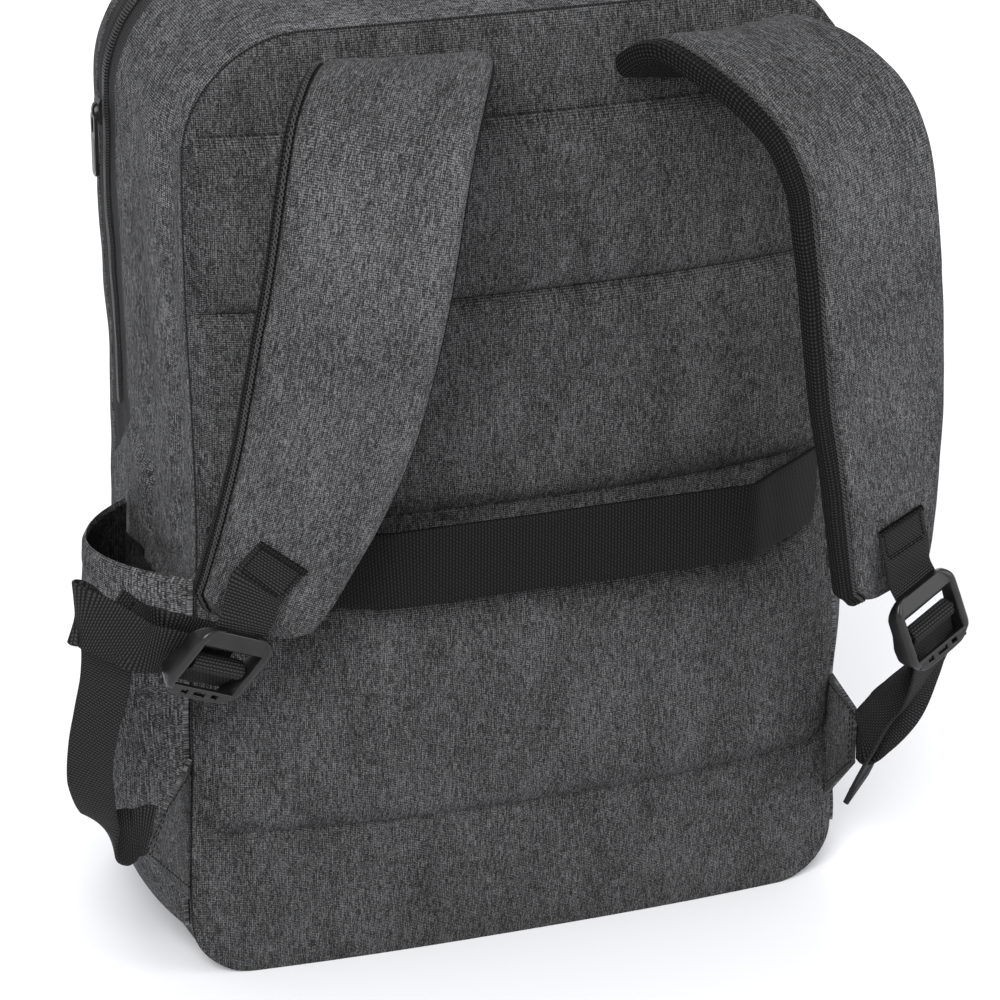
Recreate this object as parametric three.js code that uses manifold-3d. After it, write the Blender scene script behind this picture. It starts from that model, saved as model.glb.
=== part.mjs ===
// Laptop backpack, standing on its base, millimetres, +Z up.
// -Y is the harness side that lies on the wearer's back, +X is the viewer's right from there.
// The origin is the middle of the base's underside.

import * as THREE from 'three';
import { mergeVertices } from 'three/addons/utils/BufferGeometryUtils.js';
import Module from 'manifold-3d';

// Driving dimensions of the body
const bodyHeight = 440;
const bodyWidth = 300;            // between the back seams at chest height
const bodyDepth = 150;            // from the back seams to the front compartment's face
const cornerTop = 50;
const cornerBase = 26;
const sideBulge = 7;              // how far the sides swell between back seam and zipper
const clothWall = 2.2;            // lined and lightly padded cloth of sides and front
const backCrown = 18;             // how far the stuffed back panel arches out of the seams
const backWall = 3;
const frontRound = 42;            // rounding from the sides into the front face
const frontCrown = 6;
const straightShare = 0.55;       // part of the rounding's depth that it takes up
const frontTurns = [0, 0.34, 0.67, 1];
const frontShares = [0.6, 0.25];  // rings of the front face, from its edge to its middle
const pieceGap = 0.3;             // clearance between pieces that touch

// Zipper round the sides and top
const zipperFromBack = 104;       // from the back seams to the zipper line
const zipperBandWidth = 34;
const zipperWall = 1.4;
const zipperFoot = 238.3;         // height where the zipper ends on both sides
const coilWidth = 7;
const coilHeight = 1.8;
const sliderLength = 12;
const sliderWidth = 9;
const sliderHeight = 4;
const pullLength = 30;
const pullThick = 2;

// Padding of the back
const padSwell = 9;               // thickness of a back pad at its middle
const padEdge = 2;                // thickness of a back pad at its sewn edge
const topPadFoot = bodyHeight - 117.5;     // seam between top and middle pad
const topPadHead = bodyHeight - 40;
const middlePadFoot = 226;
const lowerPadHead = 187;
const lowerPadFoot = 76;
const padCorner = 14;
const padInset = 3;               // from the side seams to the pads
const padSeat = 0.9;              // clearance of the pads' faceted underside to the panel

// Strap that slips over a trolley handle
const sleeveWidth = 36;
const sleeveThick = 2.2;
const sleeveHeight = 211.5;       // height of the strap's middle line
const sleeveReach = 47;           // how far the strap stands out of the back seams
const sleeveSag = 5;              // how much lower its sewn ends lie
const sleeveBendLeft = 71;        // from the middle to the strap's left bend
const sleeveBendRight = 86;

// Shoulder straps
const strapReach = 100;           // unit for how far straps stand out of the back seams
const shoulderWidth = 76;
const shoulderFabric = 4.6;       // foam with its woven face
const shoulderMesh = 6.4;         // foam with its mesh face
const webbingWidth = 25;
const webbingThick = 1.6;
const webbingSeat = 0.6;          // more clearance under the faceted webbing on a pad

// Ladder lock buckles
const lockWindow = 26.6;          // room for the webbing between the cheeks
const lockCheek = 5;              // width of a cheek seen from the front
const lockTop = 8;                // broad top plate
const lockOpening = 24.6;         // from the top plate to the lower flange
const lockFlange = 6;
const lockPlate = 3;              // thickness of top plate and flange
const lockDepth = 8.5;            // depth of the cheeks at their deepest
const lockBarRadius = 1.8;

// Gussets, pockets and handle
const gussetHead = 110;
const gussetFoot = 40;
const gussetWall = 2;
const pocketRim = 197;            // height of the bottle pocket's rim
const pocketBulgeLeft = 28;       // the left pocket gapes open
const pocketBulgeRight = 12;      // the right one lies nearly flat
const pocketWall = 1.8;
const pocketSeat = 1;             // clearance of a pocket's faceted wall to the side
const pocketDepth = 92;           // along the side, from the back seam
const handleSpan = 88;
const handleRise = 24;
const handleWidth = 26;
const handleThick = 4;

const halfWidth = bodyWidth / 2;
const backSeamY = -bodyDepth / 2;
const frontY = bodyDepth / 2;
const zipperY = backSeamY + zipperFromBack;

// Colours
const wovenGrey = { color: 0x4a4a4c, roughness: 0.92, metalness: 0 };
const wovenDark = { color: 0x3c3c3e, roughness: 0.93, metalness: 0 };
const tapeGrey = { color: 0x2c2c2d, roughness: 0.9, metalness: 0 };
const webbingBlack = { color: 0x171718, roughness: 0.8, metalness: 0 };
const meshBlack = { color: 0x101011, roughness: 0.9, metalness: 0 };
const plasticBlack = { color: 0x1d1d1f, roughness: 0.42, metalness: 0 };

const root = new THREE.Group();
const wasm = await Module();
wasm.setup();

function addPiece(name, geometry, finish) {
  const mesh = new THREE.Mesh(geometry, new THREE.MeshStandardMaterial(finish));
  mesh.name = name;
  root.add(mesh);
  return mesh;
}

// Linear reading of one column in a table whose rows are sorted by the column "at".
function readTable(rows, column, at) {
  if (at <= rows[0].at) return rows[0][column];
  for (let i = 1; i < rows.length; i += 1) {
    const low = rows[i - 1];
    const high = rows[i];
    if (at <= high.at) {
      const share = (at - low.at) / (high.at - low.at);
      return THREE.MathUtils.lerp(low[column], high[column], share);
    }
  }
  return rows[rows.length - 1][column];
}

// Turns lists of corner points and triangles into a closed geometry that faces outwards.
function closedGeometry(points, faces) {
  let volume = 0;
  const cross = new THREE.Vector3();
  for (const [a, b, c] of faces) {
    volume += points[a].dot(cross.crossVectors(points[b], points[c]));
  }
  const ordered = volume > 0 ? faces : faces.map(([a, b, c]) => [a, c, b]);
  const geometry = new THREE.BufferGeometry().setFromPoints(points);
  geometry.setIndex(ordered.flat());
  return geometry;
}

// A wall between two grids of points. The grid is open along v, and open or closed along u.
function wallGeometry(countU, countV, outer, inner, closedU = false) {
  const points = [];
  const faces = [];
  const columns = closedU ? countU : countU + 1;
  const rows = countV + 1;
  const layer = columns * rows;
  for (const side of [outer, inner]) {
    for (let j = 0; j < rows; j += 1) {
      for (let i = 0; i < columns; i += 1) {
        points.push(side(i / countU, j / countV));
      }
    }
  }
  const at = (i, j, side) => side * layer + j * columns + (i % columns);
  const quad = (a, b, c, d) => faces.push([a, b, c], [a, c, d]);
  for (let j = 0; j < countV; j += 1) {
    for (let i = 0; i < countU; i += 1) {
      quad(at(i, j, 0), at(i + 1, j, 0), at(i + 1, j + 1, 0), at(i, j + 1, 0));
      quad(at(i, j, 1), at(i, j + 1, 1), at(i + 1, j + 1, 1), at(i + 1, j, 1));
    }
  }
  for (let i = 0; i < countU; i += 1) {
    quad(at(i, 0, 0), at(i, 0, 1), at(i + 1, 0, 1), at(i + 1, 0, 0));
    quad(at(i, countV, 0), at(i + 1, countV, 0), at(i + 1, countV, 1), at(i, countV, 1));
  }
  if (!closedU) {
    for (let j = 0; j < countV; j += 1) {
      quad(at(0, j, 0), at(0, j + 1, 0), at(0, j + 1, 1), at(0, j, 1));
      quad(at(countU, j, 0), at(countU, j, 1), at(countU, j + 1, 1), at(countU, j + 1, 0));
    }
  }
  return closedGeometry(points, faces);
}

// A cup: rings of points, closed by a fan in the middle of the last outer and inner ring.
function cupGeometry(outerRings, innerRings) {
  const points = [];
  const faces = [];
  const count = outerRings[0].length;
  const rings = [...outerRings, ...innerRings];
  rings.forEach((ring) => points.push(...ring));
  const at = (ring, i) => ring * count + (i % count);
  const band = (a, b) => {
    for (let i = 0; i < count; i += 1) {
      faces.push([at(a, i), at(a, i + 1), at(b, i + 1)], [at(a, i), at(b, i + 1), at(b, i)]);
    }
  };
  for (let k = 1; k < outerRings.length; k += 1) band(k - 1, k);
  for (let k = outerRings.length + 1; k < rings.length; k += 1) band(k, k - 1);
  band(outerRings.length, 0);
  const fan = (ring, flip) => {
    const middle = new THREE.Vector3();
    for (let i = 0; i < count; i += 1) middle.add(points[at(ring, i)]);
    points.push(middle.divideScalar(count));
    const hub = points.length - 1;
    for (let i = 0; i < count; i += 1) {
      const pair = [at(ring, i), at(ring, i + 1)];
      faces.push(flip ? [pair[1], pair[0], hub] : [pair[0], pair[1], hub]);
    }
  };
  fan(outerRings.length - 1, false);
  fan(rings.length - 1, true);
  return closedGeometry(points, faces);
}

// Half width of the bag at each height, as shares of the bag's height and half width.
const waistRows = [
  { at: 0.00, left: 1.02, right: 1.02 },
  { at: 0.07, left: 1.03, right: 1.03 },
  { at: 0.18, left: 1.025, right: 1.0 },
  { at: 0.25, left: 1.015, right: 1.005 },
  { at: 0.29, left: 1.015, right: 1.01 },
  { at: 0.40, left: 0.995, right: 0.97 },
  { at: 0.52, left: 0.985, right: 0.94 },
  { at: 0.62, left: 0.99, right: 0.965 },
  { at: 0.74, left: 1.00, right: 0.99 },
  { at: 0.88, left: 1.00, right: 1.00 },
  { at: 1.00, left: 0.985, right: 0.985 },
];

function waistShare(height, rightward) {
  return readTable(waistRows, rightward > 0 ? 'right' : 'left', height / bodyHeight);
}

// How far the sides swell at each share of the way from the back seams to the front face.
const swellRows = [
  { at: 0.0, swell: 0.0 },
  { at: 0.12, swell: 0.42 },
  { at: 0.35, swell: 0.85 },
  { at: 0.6, swell: 1.0 },
  { at: 1.0, swell: 0.8 },
];

// Stations round the bag seen from behind, from the middle of the base to the right and round.
const footSteps = 7;              // from the base's corners to the zipper's foot
const headSteps = 5;              // from there to the top's corners

function bagStations() {
  const stations = [];
  const addArc = (x, z, radius, from, to, steps) => {
    for (let k = 0; k <= steps; k += 1) {
      const angle = THREE.MathUtils.degToRad(THREE.MathUtils.lerp(from, to, k / steps));
      const outX = Math.cos(angle);
      const outZ = Math.sin(angle);
      stations.push({ x: x + radius * outX, z: z + radius * outZ, outX, outZ });
    }
  };
  const addLine = (x0, z0, x1, z1, outX, outZ, steps) => {
    for (let k = 1; k < steps; k += 1) {
      const x = THREE.MathUtils.lerp(x0, x1, k / steps);
      const z = THREE.MathUtils.lerp(z0, z1, k / steps);
      stations.push({ x, z, outX, outZ });
    }
  };
  const baseX = halfWidth - cornerBase;
  const topX = halfWidth - cornerTop;
  const topZ = bodyHeight - cornerTop;
  stations.push({ x: 0, z: 0, outX: 0, outZ: -1 });
  addLine(0, 0, baseX, 0, 0, -1, 2);
  addArc(baseX, cornerBase, cornerBase, -90, 0, 3);
  addLine(halfWidth, cornerBase, halfWidth, zipperFoot, 1, 0, footSteps);
  stations.push({ x: halfWidth, z: zipperFoot, outX: 1, outZ: 0 });
  addLine(halfWidth, zipperFoot, halfWidth, topZ, 1, 0, headSteps);
  addArc(topX, topZ, cornerTop, 0, 90, 4);
  addLine(topX, bodyHeight, -topX, bodyHeight, 0, 1, 4);
  addArc(-topX, topZ, cornerTop, 90, 180, 4);
  addLine(-halfWidth, topZ, -halfWidth, zipperFoot, -1, 0, headSteps);
  stations.push({ x: -halfWidth, z: zipperFoot, outX: -1, outZ: 0 });
  addLine(-halfWidth, zipperFoot, -halfWidth, cornerBase, -1, 0, footSteps);
  addArc(-baseX, cornerBase, cornerBase, 180, 270, 3);
  addLine(-baseX, 0, 0, 0, 0, -1, 2);
  return stations;
}

const stations = bagStations();

// Station at a share of the way round, straight between its neighbours.
function stationAt(share) {
  const place = share * stations.length;
  const low = Math.floor(place);
  const a = stations[low % stations.length];
  const b = stations[(low + 1) % stations.length];
  const part = place - low;
  return {
    x: THREE.MathUtils.lerp(a.x, b.x, part),
    z: THREE.MathUtils.lerp(a.z, b.z, part),
    outX: THREE.MathUtils.lerp(a.outX, b.outX, part),
    outZ: THREE.MathUtils.lerp(a.outZ, b.outZ, part),
  };
}

// A point of the bag's side at a station, at depth y, a given distance under the outer face.
function sidePoint(station, y, under) {
  const share = (y - backSeamY) / (frontY - backSeamY);
  const swell = sideBulge * readTable(swellRows, 'swell', share);
  const lift = station.outZ < 0 ? 1 + station.outZ : 1;
  const out = swell * lift - under;
  const x = station.x * waistShare(station.z, station.x) + station.outX * out;
  return new THREE.Vector3(x, y, station.z + station.outZ * out);
}

// Depth where the side band ends: at the zipper tape above, further forward below it.
function bandEdgeY(station) {
  const upper = zipperY - zipperBandWidth / 2;
  const lower = zipperY + zipperBandWidth / 2;
  return station.z < zipperFoot ? lower : upper;
}

function makeSideBand() {
  const count = stations.length;
  const point = (under) => (u, v) => {
    const station = stationAt(Math.round(u * count) / count);
    const y = THREE.MathUtils.lerp(backSeamY, bandEdgeY(station), v);
    return sidePoint(station, y, under);
  };
  addPiece('side_band', wallGeometry(count, 4, point(0), point(clothWall), true), wovenGrey);
}

// Stations of the zipper's run, from its right end over the top to its left end.
const zipperStations = stations.filter((station) => station.z >= zipperFoot);

const tapeSlant = 0.9;

// The tape's pointed end fills the slanted corner under the zipper's foot.
function slantedStation(station) {
  const share = stations.indexOf(station);
  const next = station.x > 0 ? stations[share - 1] : stations[share + 1];
  return { ...station, z: THREE.MathUtils.lerp(station.z, next.z, tapeSlant), slant: tapeSlant };
}

const tapeStations = [
  slantedStation(zipperStations[0]),
  ...zipperStations,
  slantedStation(zipperStations[zipperStations.length - 1]),
];

function zipperRun(run, height, wall, fromY, toY) {
  const count = run.length - 1;
  const point = (under) => (u, v) => {
    const station = run[Math.round(u * count)];
    const start = THREE.MathUtils.lerp(fromY, zipperY + zipperBandWidth / 2, station.slant ?? 0);
    return sidePoint(station, THREE.MathUtils.lerp(start, toY, v), under);
  };
  return wallGeometry(count, 1, point(-height), point(wall - height), false);
}

function makeZipper() {
  const half = zipperBandWidth / 2 - pieceGap;
  const band = zipperRun(tapeStations, 0, zipperWall, zipperY - half, zipperY + half);
  addPiece('zipper_band', band, tapeGrey);
  const coil = zipperRun(
    zipperStations, coilHeight + pieceGap, coilHeight, zipperY - coilWidth / 2, zipperY + coilWidth / 2,
  );
  addPiece('zipper_coil', coil, webbingBlack);
}

// Slider body with its pull hanging down on the zipper, one at each side of the top.
function makeSlider(name, rightward) {
  const height = bodyHeight - cornerTop - sliderLength;
  const base = coilHeight + 2 * pieceGap;
  const station = { x: rightward * halfWidth, z: height, outX: rightward, outZ: 0 };
  const seat = sidePoint(station, zipperY, 0);
  const outline = new THREE.Shape();
  outline.moveTo(base, sliderLength / 2);
  outline.lineTo(base + sliderHeight, sliderLength / 2);
  outline.lineTo(base + sliderHeight, -pullLength);
  outline.lineTo(base + sliderHeight - pullThick, -pullLength);
  outline.lineTo(base + sliderHeight - pullThick, -sliderLength / 2);
  outline.lineTo(base, -sliderLength / 2);
  outline.closePath();
  const geometry = new THREE.ExtrudeGeometry(outline, { depth: sliderWidth, bevelEnabled: false });
  geometry.translate(0, 0, -sliderWidth / 2);
  geometry.rotateX(Math.PI / 2);
  if (rightward < 0) geometry.rotateZ(Math.PI);
  geometry.translate(seat.x, seat.y, seat.z);
  addPiece(name, cleaned(geometry), plasticBlack);
}

// Drops normals and seams so that the mesh is one closed body.
function cleaned(geometry) {
  geometry.deleteAttribute('normal');
  geometry.deleteAttribute('uv');
  return mergeVertices(geometry, 0.001);
}

// Where a station ends up on the front face: inside the outline by the rounding, down to the base.
function frontCorner(station, wall) {
  const side = halfWidth * waistShare(station.z, station.x) - frontRound;
  const x = THREE.MathUtils.clamp(station.x, -side, side);
  const z = THREE.MathUtils.clamp(station.z, wall, bodyHeight - frontRound);
  return new THREE.Vector3(x, frontY - wall, z);
}

function makeFrontCompartment() {
  const startY = zipperY + zipperBandWidth / 2 + pieceGap;
  const straightY = frontY - frontRound * straightShare;
  const rings = (wall) => {
    const list = frontTurns.map((turn) => stations.map((station) => {
      const angle = turn * Math.PI / 2;
      const turned = THREE.MathUtils.lerp(straightY, frontY - wall, Math.sin(angle));
      const y = turn === 0 ? startY : turned;
      const point = sidePoint(station, y, wall);
      point.z = Math.max(point.z, wall);
      const inwards = frontCorner(station, wall);
      inwards.y = y;
      return point.lerp(inwards, 1 - Math.cos(angle));
    }));
    for (const share of frontShares) {
      list.push(list[frontTurns.length - 1].map((point) => {
        const moved = point.clone().lerp(new THREE.Vector3(0, point.y, bodyHeight / 2), 1 - share);
        moved.y += frontCrown * (1 - share * share);
        return moved;
      }));
    }
    return list;
  };
  addPiece('front_compartment', cupGeometry(rings(0), rings(clothWall)), wovenGrey);
}

// How far the back panel stands out of the seams at a share of the width and of the height.
function backArch(shareX, shareZ) {
  const across = 1 - Math.abs(shareX) ** 2.4;
  const along = 1 - Math.abs(2 * shareZ - 1) ** 4;
  return backCrown * Math.max(across, 0) * (0.35 + 0.65 * Math.max(along, 0));
}

// Half width of the back panel at a height, with the bag's corners taken off.
function backHalfWidth(height, rightward) {
  let inset = 0;
  if (height < cornerBase) {
    const rise = cornerBase - height;
    inset = cornerBase - Math.sqrt(Math.max(cornerBase ** 2 - rise ** 2, 0));
  }
  const topStart = bodyHeight - cornerTop;
  if (height > topStart) {
    const rise = height - topStart;
    inset = cornerTop - Math.sqrt(Math.max(cornerTop ** 2 - rise ** 2, 0));
  }
  return (halfWidth - inset) * waistShare(height, rightward);
}

// Outer face of the back panel at x and z.
function backFaceY(x, z) {
  const half = halfWidth * waistShare(z, x);
  return backSeamY - backArch(x / half, z / bodyHeight);
}

function makeBackPanel() {
  const topStart = bodyHeight - cornerTop;
  const levels = [
    0.3, cornerBase * 0.12, cornerBase * 0.4, cornerBase, 60, 100, 150, 200, 250, 300, 350, topStart,
    topStart + cornerTop * 0.45, topStart + cornerTop * 0.75, topStart + cornerTop * 0.92,
    bodyHeight - 0.3,
  ];
  const count = levels.length - 1;
  const point = (depth) => (u, v) => {
    const z = levels[Math.round(v * count)];
    const across = 2 * u - 1;
    const x = across * backHalfWidth(z, across);
    return new THREE.Vector3(x, backFaceY(x, z) - depth, z);
  };
  const geometry = wallGeometry(12, count, point(backWall + pieceGap), point(pieceGap));
  addPiece('back_panel', geometry, wovenDark);
}

// One quilted pad on the back panel, from its foot to its head, with rounded corners.
function makeBackPad(name, foot, head, roundFoot, roundHead) {
  const point = (outer) => (u, v) => {
    const across = 2 * u - 1;
    const z = THREE.MathUtils.lerp(foot, head, v);
    const nearFoot = Math.max(padCorner - (z - foot), 0) * roundFoot;
    const nearHead = Math.max(padCorner - (head - z), 0) * roundHead;
    const near = Math.max(nearFoot, nearHead);
    const corner = padCorner - Math.sqrt(Math.max(padCorner ** 2 - near ** 2, 0));
    const half = backHalfWidth(z, across) - padInset - corner;
    const x = across * half;
    const swell = (1 - Math.abs(across) ** 6) * (1 - Math.abs(2 * v - 1) ** 5);
    const thick = padEdge + (padSwell - padEdge) * swell;
    const y = backFaceY(x, z) - backWall - pieceGap - padSeat;
    return new THREE.Vector3(x, outer ? y - thick : y, z);
  };
  addPiece(name, wallGeometry(12, 7, point(true), point(false)), wovenDark);
}

// Places a row of a strap table: x in half widths, out in strap reaches, z in body heights.
function rowPoint(row) {
  return new THREE.Vector3(
    row.x * halfWidth, backSeamY - row.out * strapReach, row.z * bodyHeight,
  );
}

// Smooth route through a strap table, with its width direction and columns at each share.
function makeRoute(rows, place = rowPoint) {
  const curve = new THREE.CatmullRomCurve3(rows.map(place), false, 'centripetal');
  const spaced = rows.map((row, index) => ({ ...row, at: index / (rows.length - 1) }));
  return (share) => {
    const point = curve.getPoint(share);
    const tangent = curve.getTangent(share);
    const across = new THREE.Vector3(
      readTable(spaced, 'ax', share), readTable(spaced, 'ay', share), readTable(spaced, 'az', share),
    );
    across.addScaledVector(tangent, -across.dot(tangent)).normalize();
    const face = new THREE.Vector3().crossVectors(tangent, across).normalize();
    const size = rows[0].size === undefined ? 1 : readTable(spaced, 'size', share);
    return { point, across, face, size };
  };
}

// A flat or crowned band along a route, between two heights over the route's face.
function bandGeometry(route, steps, columns, width, low, high, crown = 0) {
  const point = (height, lift) => (u, v) => {
    const spot = route(v);
    const side = 2 * u - 1;
    const rise = height + lift * (1 - side ** 4);
    return spot.point.clone()
      .addScaledVector(spot.across, side * width * spot.size / 2)
      .addScaledVector(spot.face, rise);
  };
  return wallGeometry(columns, steps, point(high, crown), point(low, 0));
}

// Table columns: x, out and z place the route, ax, ay and az give the band's width direction.
const leftPadRows = [
  { x: -0.40, out: 0.2, z: 0.945, ax: 1, ay: 0, az: 0, size: 0.92 },
  { x: -0.45, out: 0.44, z: 0.985, ax: 1, ay: -0.1, az: 0, size: 0.95 },
  { x: -0.53, out: 0.68, z: 0.985, ax: 1, ay: -0.2, az: 0, size: 0.98 },
  { x: -0.61, out: 0.88, z: 0.957, ax: 1, ay: -0.3, az: 0, size: 1.0 },
  { x: -0.65, out: 0.95, z: 0.915, ax: 1, ay: -0.32, az: 0, size: 1.0 },
  { x: -0.675, out: 0.97, z: 0.87, ax: 1, ay: -0.32, az: 0, size: 1.0 },
  { x: -0.70, out: 0.97, z: 0.818, ax: 1, ay: -0.32, az: 0, size: 1.0 },
  { x: -0.73, out: 0.94, z: 0.757, ax: 1, ay: -0.32, az: 0, size: 1.0 },
  { x: -0.76, out: 0.88, z: 0.69, ax: 1, ay: -0.32, az: 0, size: 0.98 },
  { x: -0.785, out: 0.81, z: 0.639, ax: 1, ay: -0.32, az: -0.05, size: 0.94 },
  { x: -0.821, out: 0.74, z: 0.587, ax: 1, ay: -0.3, az: -0.1, size: 0.89 },
  { x: -0.855, out: 0.68, z: 0.545, ax: 1, ay: -0.26, az: -0.16, size: 0.84 },
  { x: -0.895, out: 0.625, z: 0.502, ax: 1, ay: -0.22, az: -0.22, size: 0.79 },
  { x: -0.93, out: 0.59, z: 0.475, ax: 1, ay: -0.18, az: -0.26, size: 0.74 },
  { x: -0.95, out: 0.575, z: 0.46, ax: 1, ay: -0.15, az: -0.28, size: 0.54 },
];
const rightPadRows = [
  { x: 0.41, out: 0.215, z: 0.946, ax: 1, ay: 0, az: 0, size: 0.92 },
  { x: 0.47, out: 0.44, z: 0.982, ax: 1, ay: 0.1, az: 0, size: 0.95 },
  { x: 0.57, out: 0.68, z: 0.975, ax: 1, ay: 0.2, az: 0, size: 0.98 },
  { x: 0.68, out: 0.86, z: 0.94, ax: 1, ay: 0.3, az: 0, size: 1.0 },
  { x: 0.745, out: 0.94, z: 0.892, ax: 1, ay: 0.32, az: 0, size: 1.0 },
  { x: 0.775, out: 0.97, z: 0.83, ax: 1, ay: 0.32, az: 0, size: 1.0 },
  { x: 0.80, out: 0.97, z: 0.76, ax: 1, ay: 0.32, az: 0, size: 0.98 },
  { x: 0.835, out: 0.93, z: 0.69, ax: 1, ay: 0.32, az: 0, size: 0.95 },
  { x: 0.87, out: 0.87, z: 0.635, ax: 1, ay: 0.32, az: 0, size: 0.91 },
  { x: 0.903, out: 0.81, z: 0.578, ax: 1, ay: 0.32, az: 0.05, size: 0.86 },
  { x: 0.945, out: 0.72, z: 0.505, ax: 1, ay: 0.32, az: 0.1, size: 0.8 },
  { x: 0.97, out: 0.655, z: 0.455, ax: 1, ay: 0.32, az: 0.16, size: 0.75 },
  { x: 0.985, out: 0.61, z: 0.42, ax: 1, ay: 0.32, az: 0.22, size: 0.7 },
  { x: 0.99, out: 0.59, z: 0.40, ax: 1, ay: 0.32, az: 0.26, size: 0.52 },
];

function makeShoulderStrap(side, rows) {
  const route = makeRoute(rows);
  const steps = 26;
  const fabric = bandGeometry(route, steps, 5, shoulderWidth, pieceGap, shoulderFabric - 1.6, 1.6);
  addPiece(`shoulder_pad_${side}`, fabric, wovenGrey);
  const mesh = bandGeometry(route, steps, 5, shoulderWidth, -shoulderMesh, 0);
  addPiece(`shoulder_mesh_${side}`, mesh, meshBlack);
}

function makeLuggageStrap() {
  const left = sleeveBendLeft;
  const right = sleeveBendRight;
  const rows = [
    { px: -halfWidth * 0.955, out: 0.14, drop: 1 },
    { px: -halfWidth * 0.84, out: 0.42, drop: 0.6 },
    { px: -left - 20, out: 0.80, drop: 0.3 },
    { px: -left - 5, out: 0.97, drop: 0.1 },
    { px: -left + 5, out: 1.0, drop: 0 },
    { px: -left / 2, out: 1.0, drop: 0 },
    { px: 0, out: 1.0, drop: 0 },
    { px: right / 2, out: 1.0, drop: 0 },
    { px: right - 5, out: 1.0, drop: 0 },
    { px: right + 5, out: 0.96, drop: 0.15 },
    { px: right + 22, out: 0.66, drop: 0.5 },
    { px: halfWidth * 0.91, out: 0.145, drop: 1 },
  ].map((row) => ({ ...row, ax: 0, ay: 0, az: 1 }));
  const place = (row) => new THREE.Vector3(
    row.px, backSeamY - row.out * sleeveReach, sleeveHeight - row.drop * sleeveSag,
  );
  const strap = bandGeometry(
    makeRoute(rows, place), 30, 2, sleeveWidth, -sleeveThick / 2, sleeveThick / 2,
  );
  addPiece('luggage_strap', strap, webbingBlack);
}

// Solid for joining and cutting, from a closed three.js geometry.
function toSolid(geometry) {
  const merged = cleaned(geometry);
  return new wasm.Manifold(new wasm.Mesh({
    numProp: 3,
    vertProperties: new Float32Array(merged.attributes.position.array),
    triVerts: new Uint32Array(merged.index.array),
  }));
}

function toGeometry(solid) {
  const mesh = solid.getMesh();
  const geometry = new THREE.BufferGeometry();
  geometry.setAttribute('position', new THREE.BufferAttribute(mesh.vertProperties, 3));
  geometry.setIndex([...mesh.triVerts]);
  return geometry;
}

// Frames of the two buckles: place of the top edge's middle, and the across and down directions.
const lockRows = {
  left: { x: -0.997, out: 0.765, z: 0.473, across: [0.886, 0.175, -0.425], down: [-0.455, 0.305, -0.83] },
  right: { x: 1.061, out: 0.717, z: 0.4145, across: [0.886, 0.332, 0.326], down: [0.359, -0.0135, -0.932] },
};

function lockFrame(row) {
  const down = new THREE.Vector3(...row.down).normalize();
  const across = new THREE.Vector3(...row.across);
  across.addScaledVector(down, -across.dot(down)).normalize();
  const face = new THREE.Vector3().crossVectors(down, across);
  return { origin: rowPoint(row), down, across, face };
}

const lockFrames = { left: lockFrame(lockRows.left), right: lockFrame(lockRows.right) };

function lockPoint(frame, down, out) {
  return frame.origin.clone().addScaledVector(frame.down, down).addScaledVector(frame.face, out);
}

// Heights of the buckle's parts over its middle plane.
const lockFront = 4;
const attachDown = lockTop + 1.6;     // bar that holds the pad's webbing
const attachOut = -3.6;
const middleDown = lockTop + 13;      // bar that the adjusting webbing wraps
const middleOut = -0.4;

// A buckle: a plate with one window, two deep S-shaped cheeks and two round bars.
// It is made with x down its length, y across it and z out of its face.
function makeLadderLock(side) {
  const halfWindow = lockWindow / 2;
  const halfLock = halfWindow + lockCheek;
  const length = lockTop + lockOpening + lockFlange;
  const plate = new THREE.Shape();
  plate.moveTo(0, -halfLock + 4);
  plate.lineTo(0, halfLock - 4);
  plate.quadraticCurveTo(0, halfLock, 4, halfLock);
  plate.lineTo(length - 7, halfLock);
  plate.quadraticCurveTo(length, halfLock - 4, length, 0);
  plate.quadraticCurveTo(length, -halfLock + 4, length - 7, -halfLock);
  plate.lineTo(4, -halfLock);
  plate.quadraticCurveTo(0, -halfLock, 0, -halfLock + 4);
  const window = new THREE.Path();
  window.moveTo(lockTop, -halfWindow);
  window.lineTo(lockTop + lockOpening, -halfWindow);
  window.lineTo(lockTop + lockOpening, halfWindow);
  window.lineTo(lockTop, halfWindow);
  window.closePath();
  plate.holes.push(window);
  const plateGeometry = new THREE.ExtrudeGeometry(plate, {
    depth: lockPlate, bevelEnabled: false, curveSegments: 4,
  });
  plateGeometry.translate(0, 0, lockFront - lockPlate);
  let solid = toSolid(plateGeometry);
  const cheek = new THREE.Shape();
  cheek.moveTo(2, lockFront);
  cheek.lineTo(length - 8, lockFront);
  cheek.quadraticCurveTo(length - 2, lockFront, length - 2, lockFront - 3);
  cheek.quadraticCurveTo(length - 6, lockFront - lockDepth, length - 13, lockFront - lockDepth);
  cheek.quadraticCurveTo(lockTop + 9, lockFront - lockDepth + 1, lockTop, lockFront - 7);
  cheek.quadraticCurveTo(3, lockFront - 5, 2, lockFront);
  for (const start of [-halfWindow, halfLock]) {
    const geometry = new THREE.ExtrudeGeometry(cheek, {
      depth: lockCheek, bevelEnabled: false, curveSegments: 4,
    });
    geometry.rotateX(Math.PI / 2);
    geometry.translate(0, start, 0);
    solid = solid.add(toSolid(geometry));
  }
  for (const [down, out] of [[attachDown, attachOut], [middleDown, middleOut]]) {
    const bar = new THREE.CylinderGeometry(lockBarRadius, lockBarRadius, lockWindow + 2, 8);
    bar.translate(down, 0, out);
    solid = solid.add(toSolid(bar));
  }
  const geometry = toGeometry(solid);
  const frame = lockFrames[side];
  geometry.applyMatrix4(new THREE.Matrix4().makeBasis(frame.down, frame.across, frame.face)
    .setPosition(frame.origin));
  addPiece(`ladder_lock_${side}`, geometry, plasticBlack);
}

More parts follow.
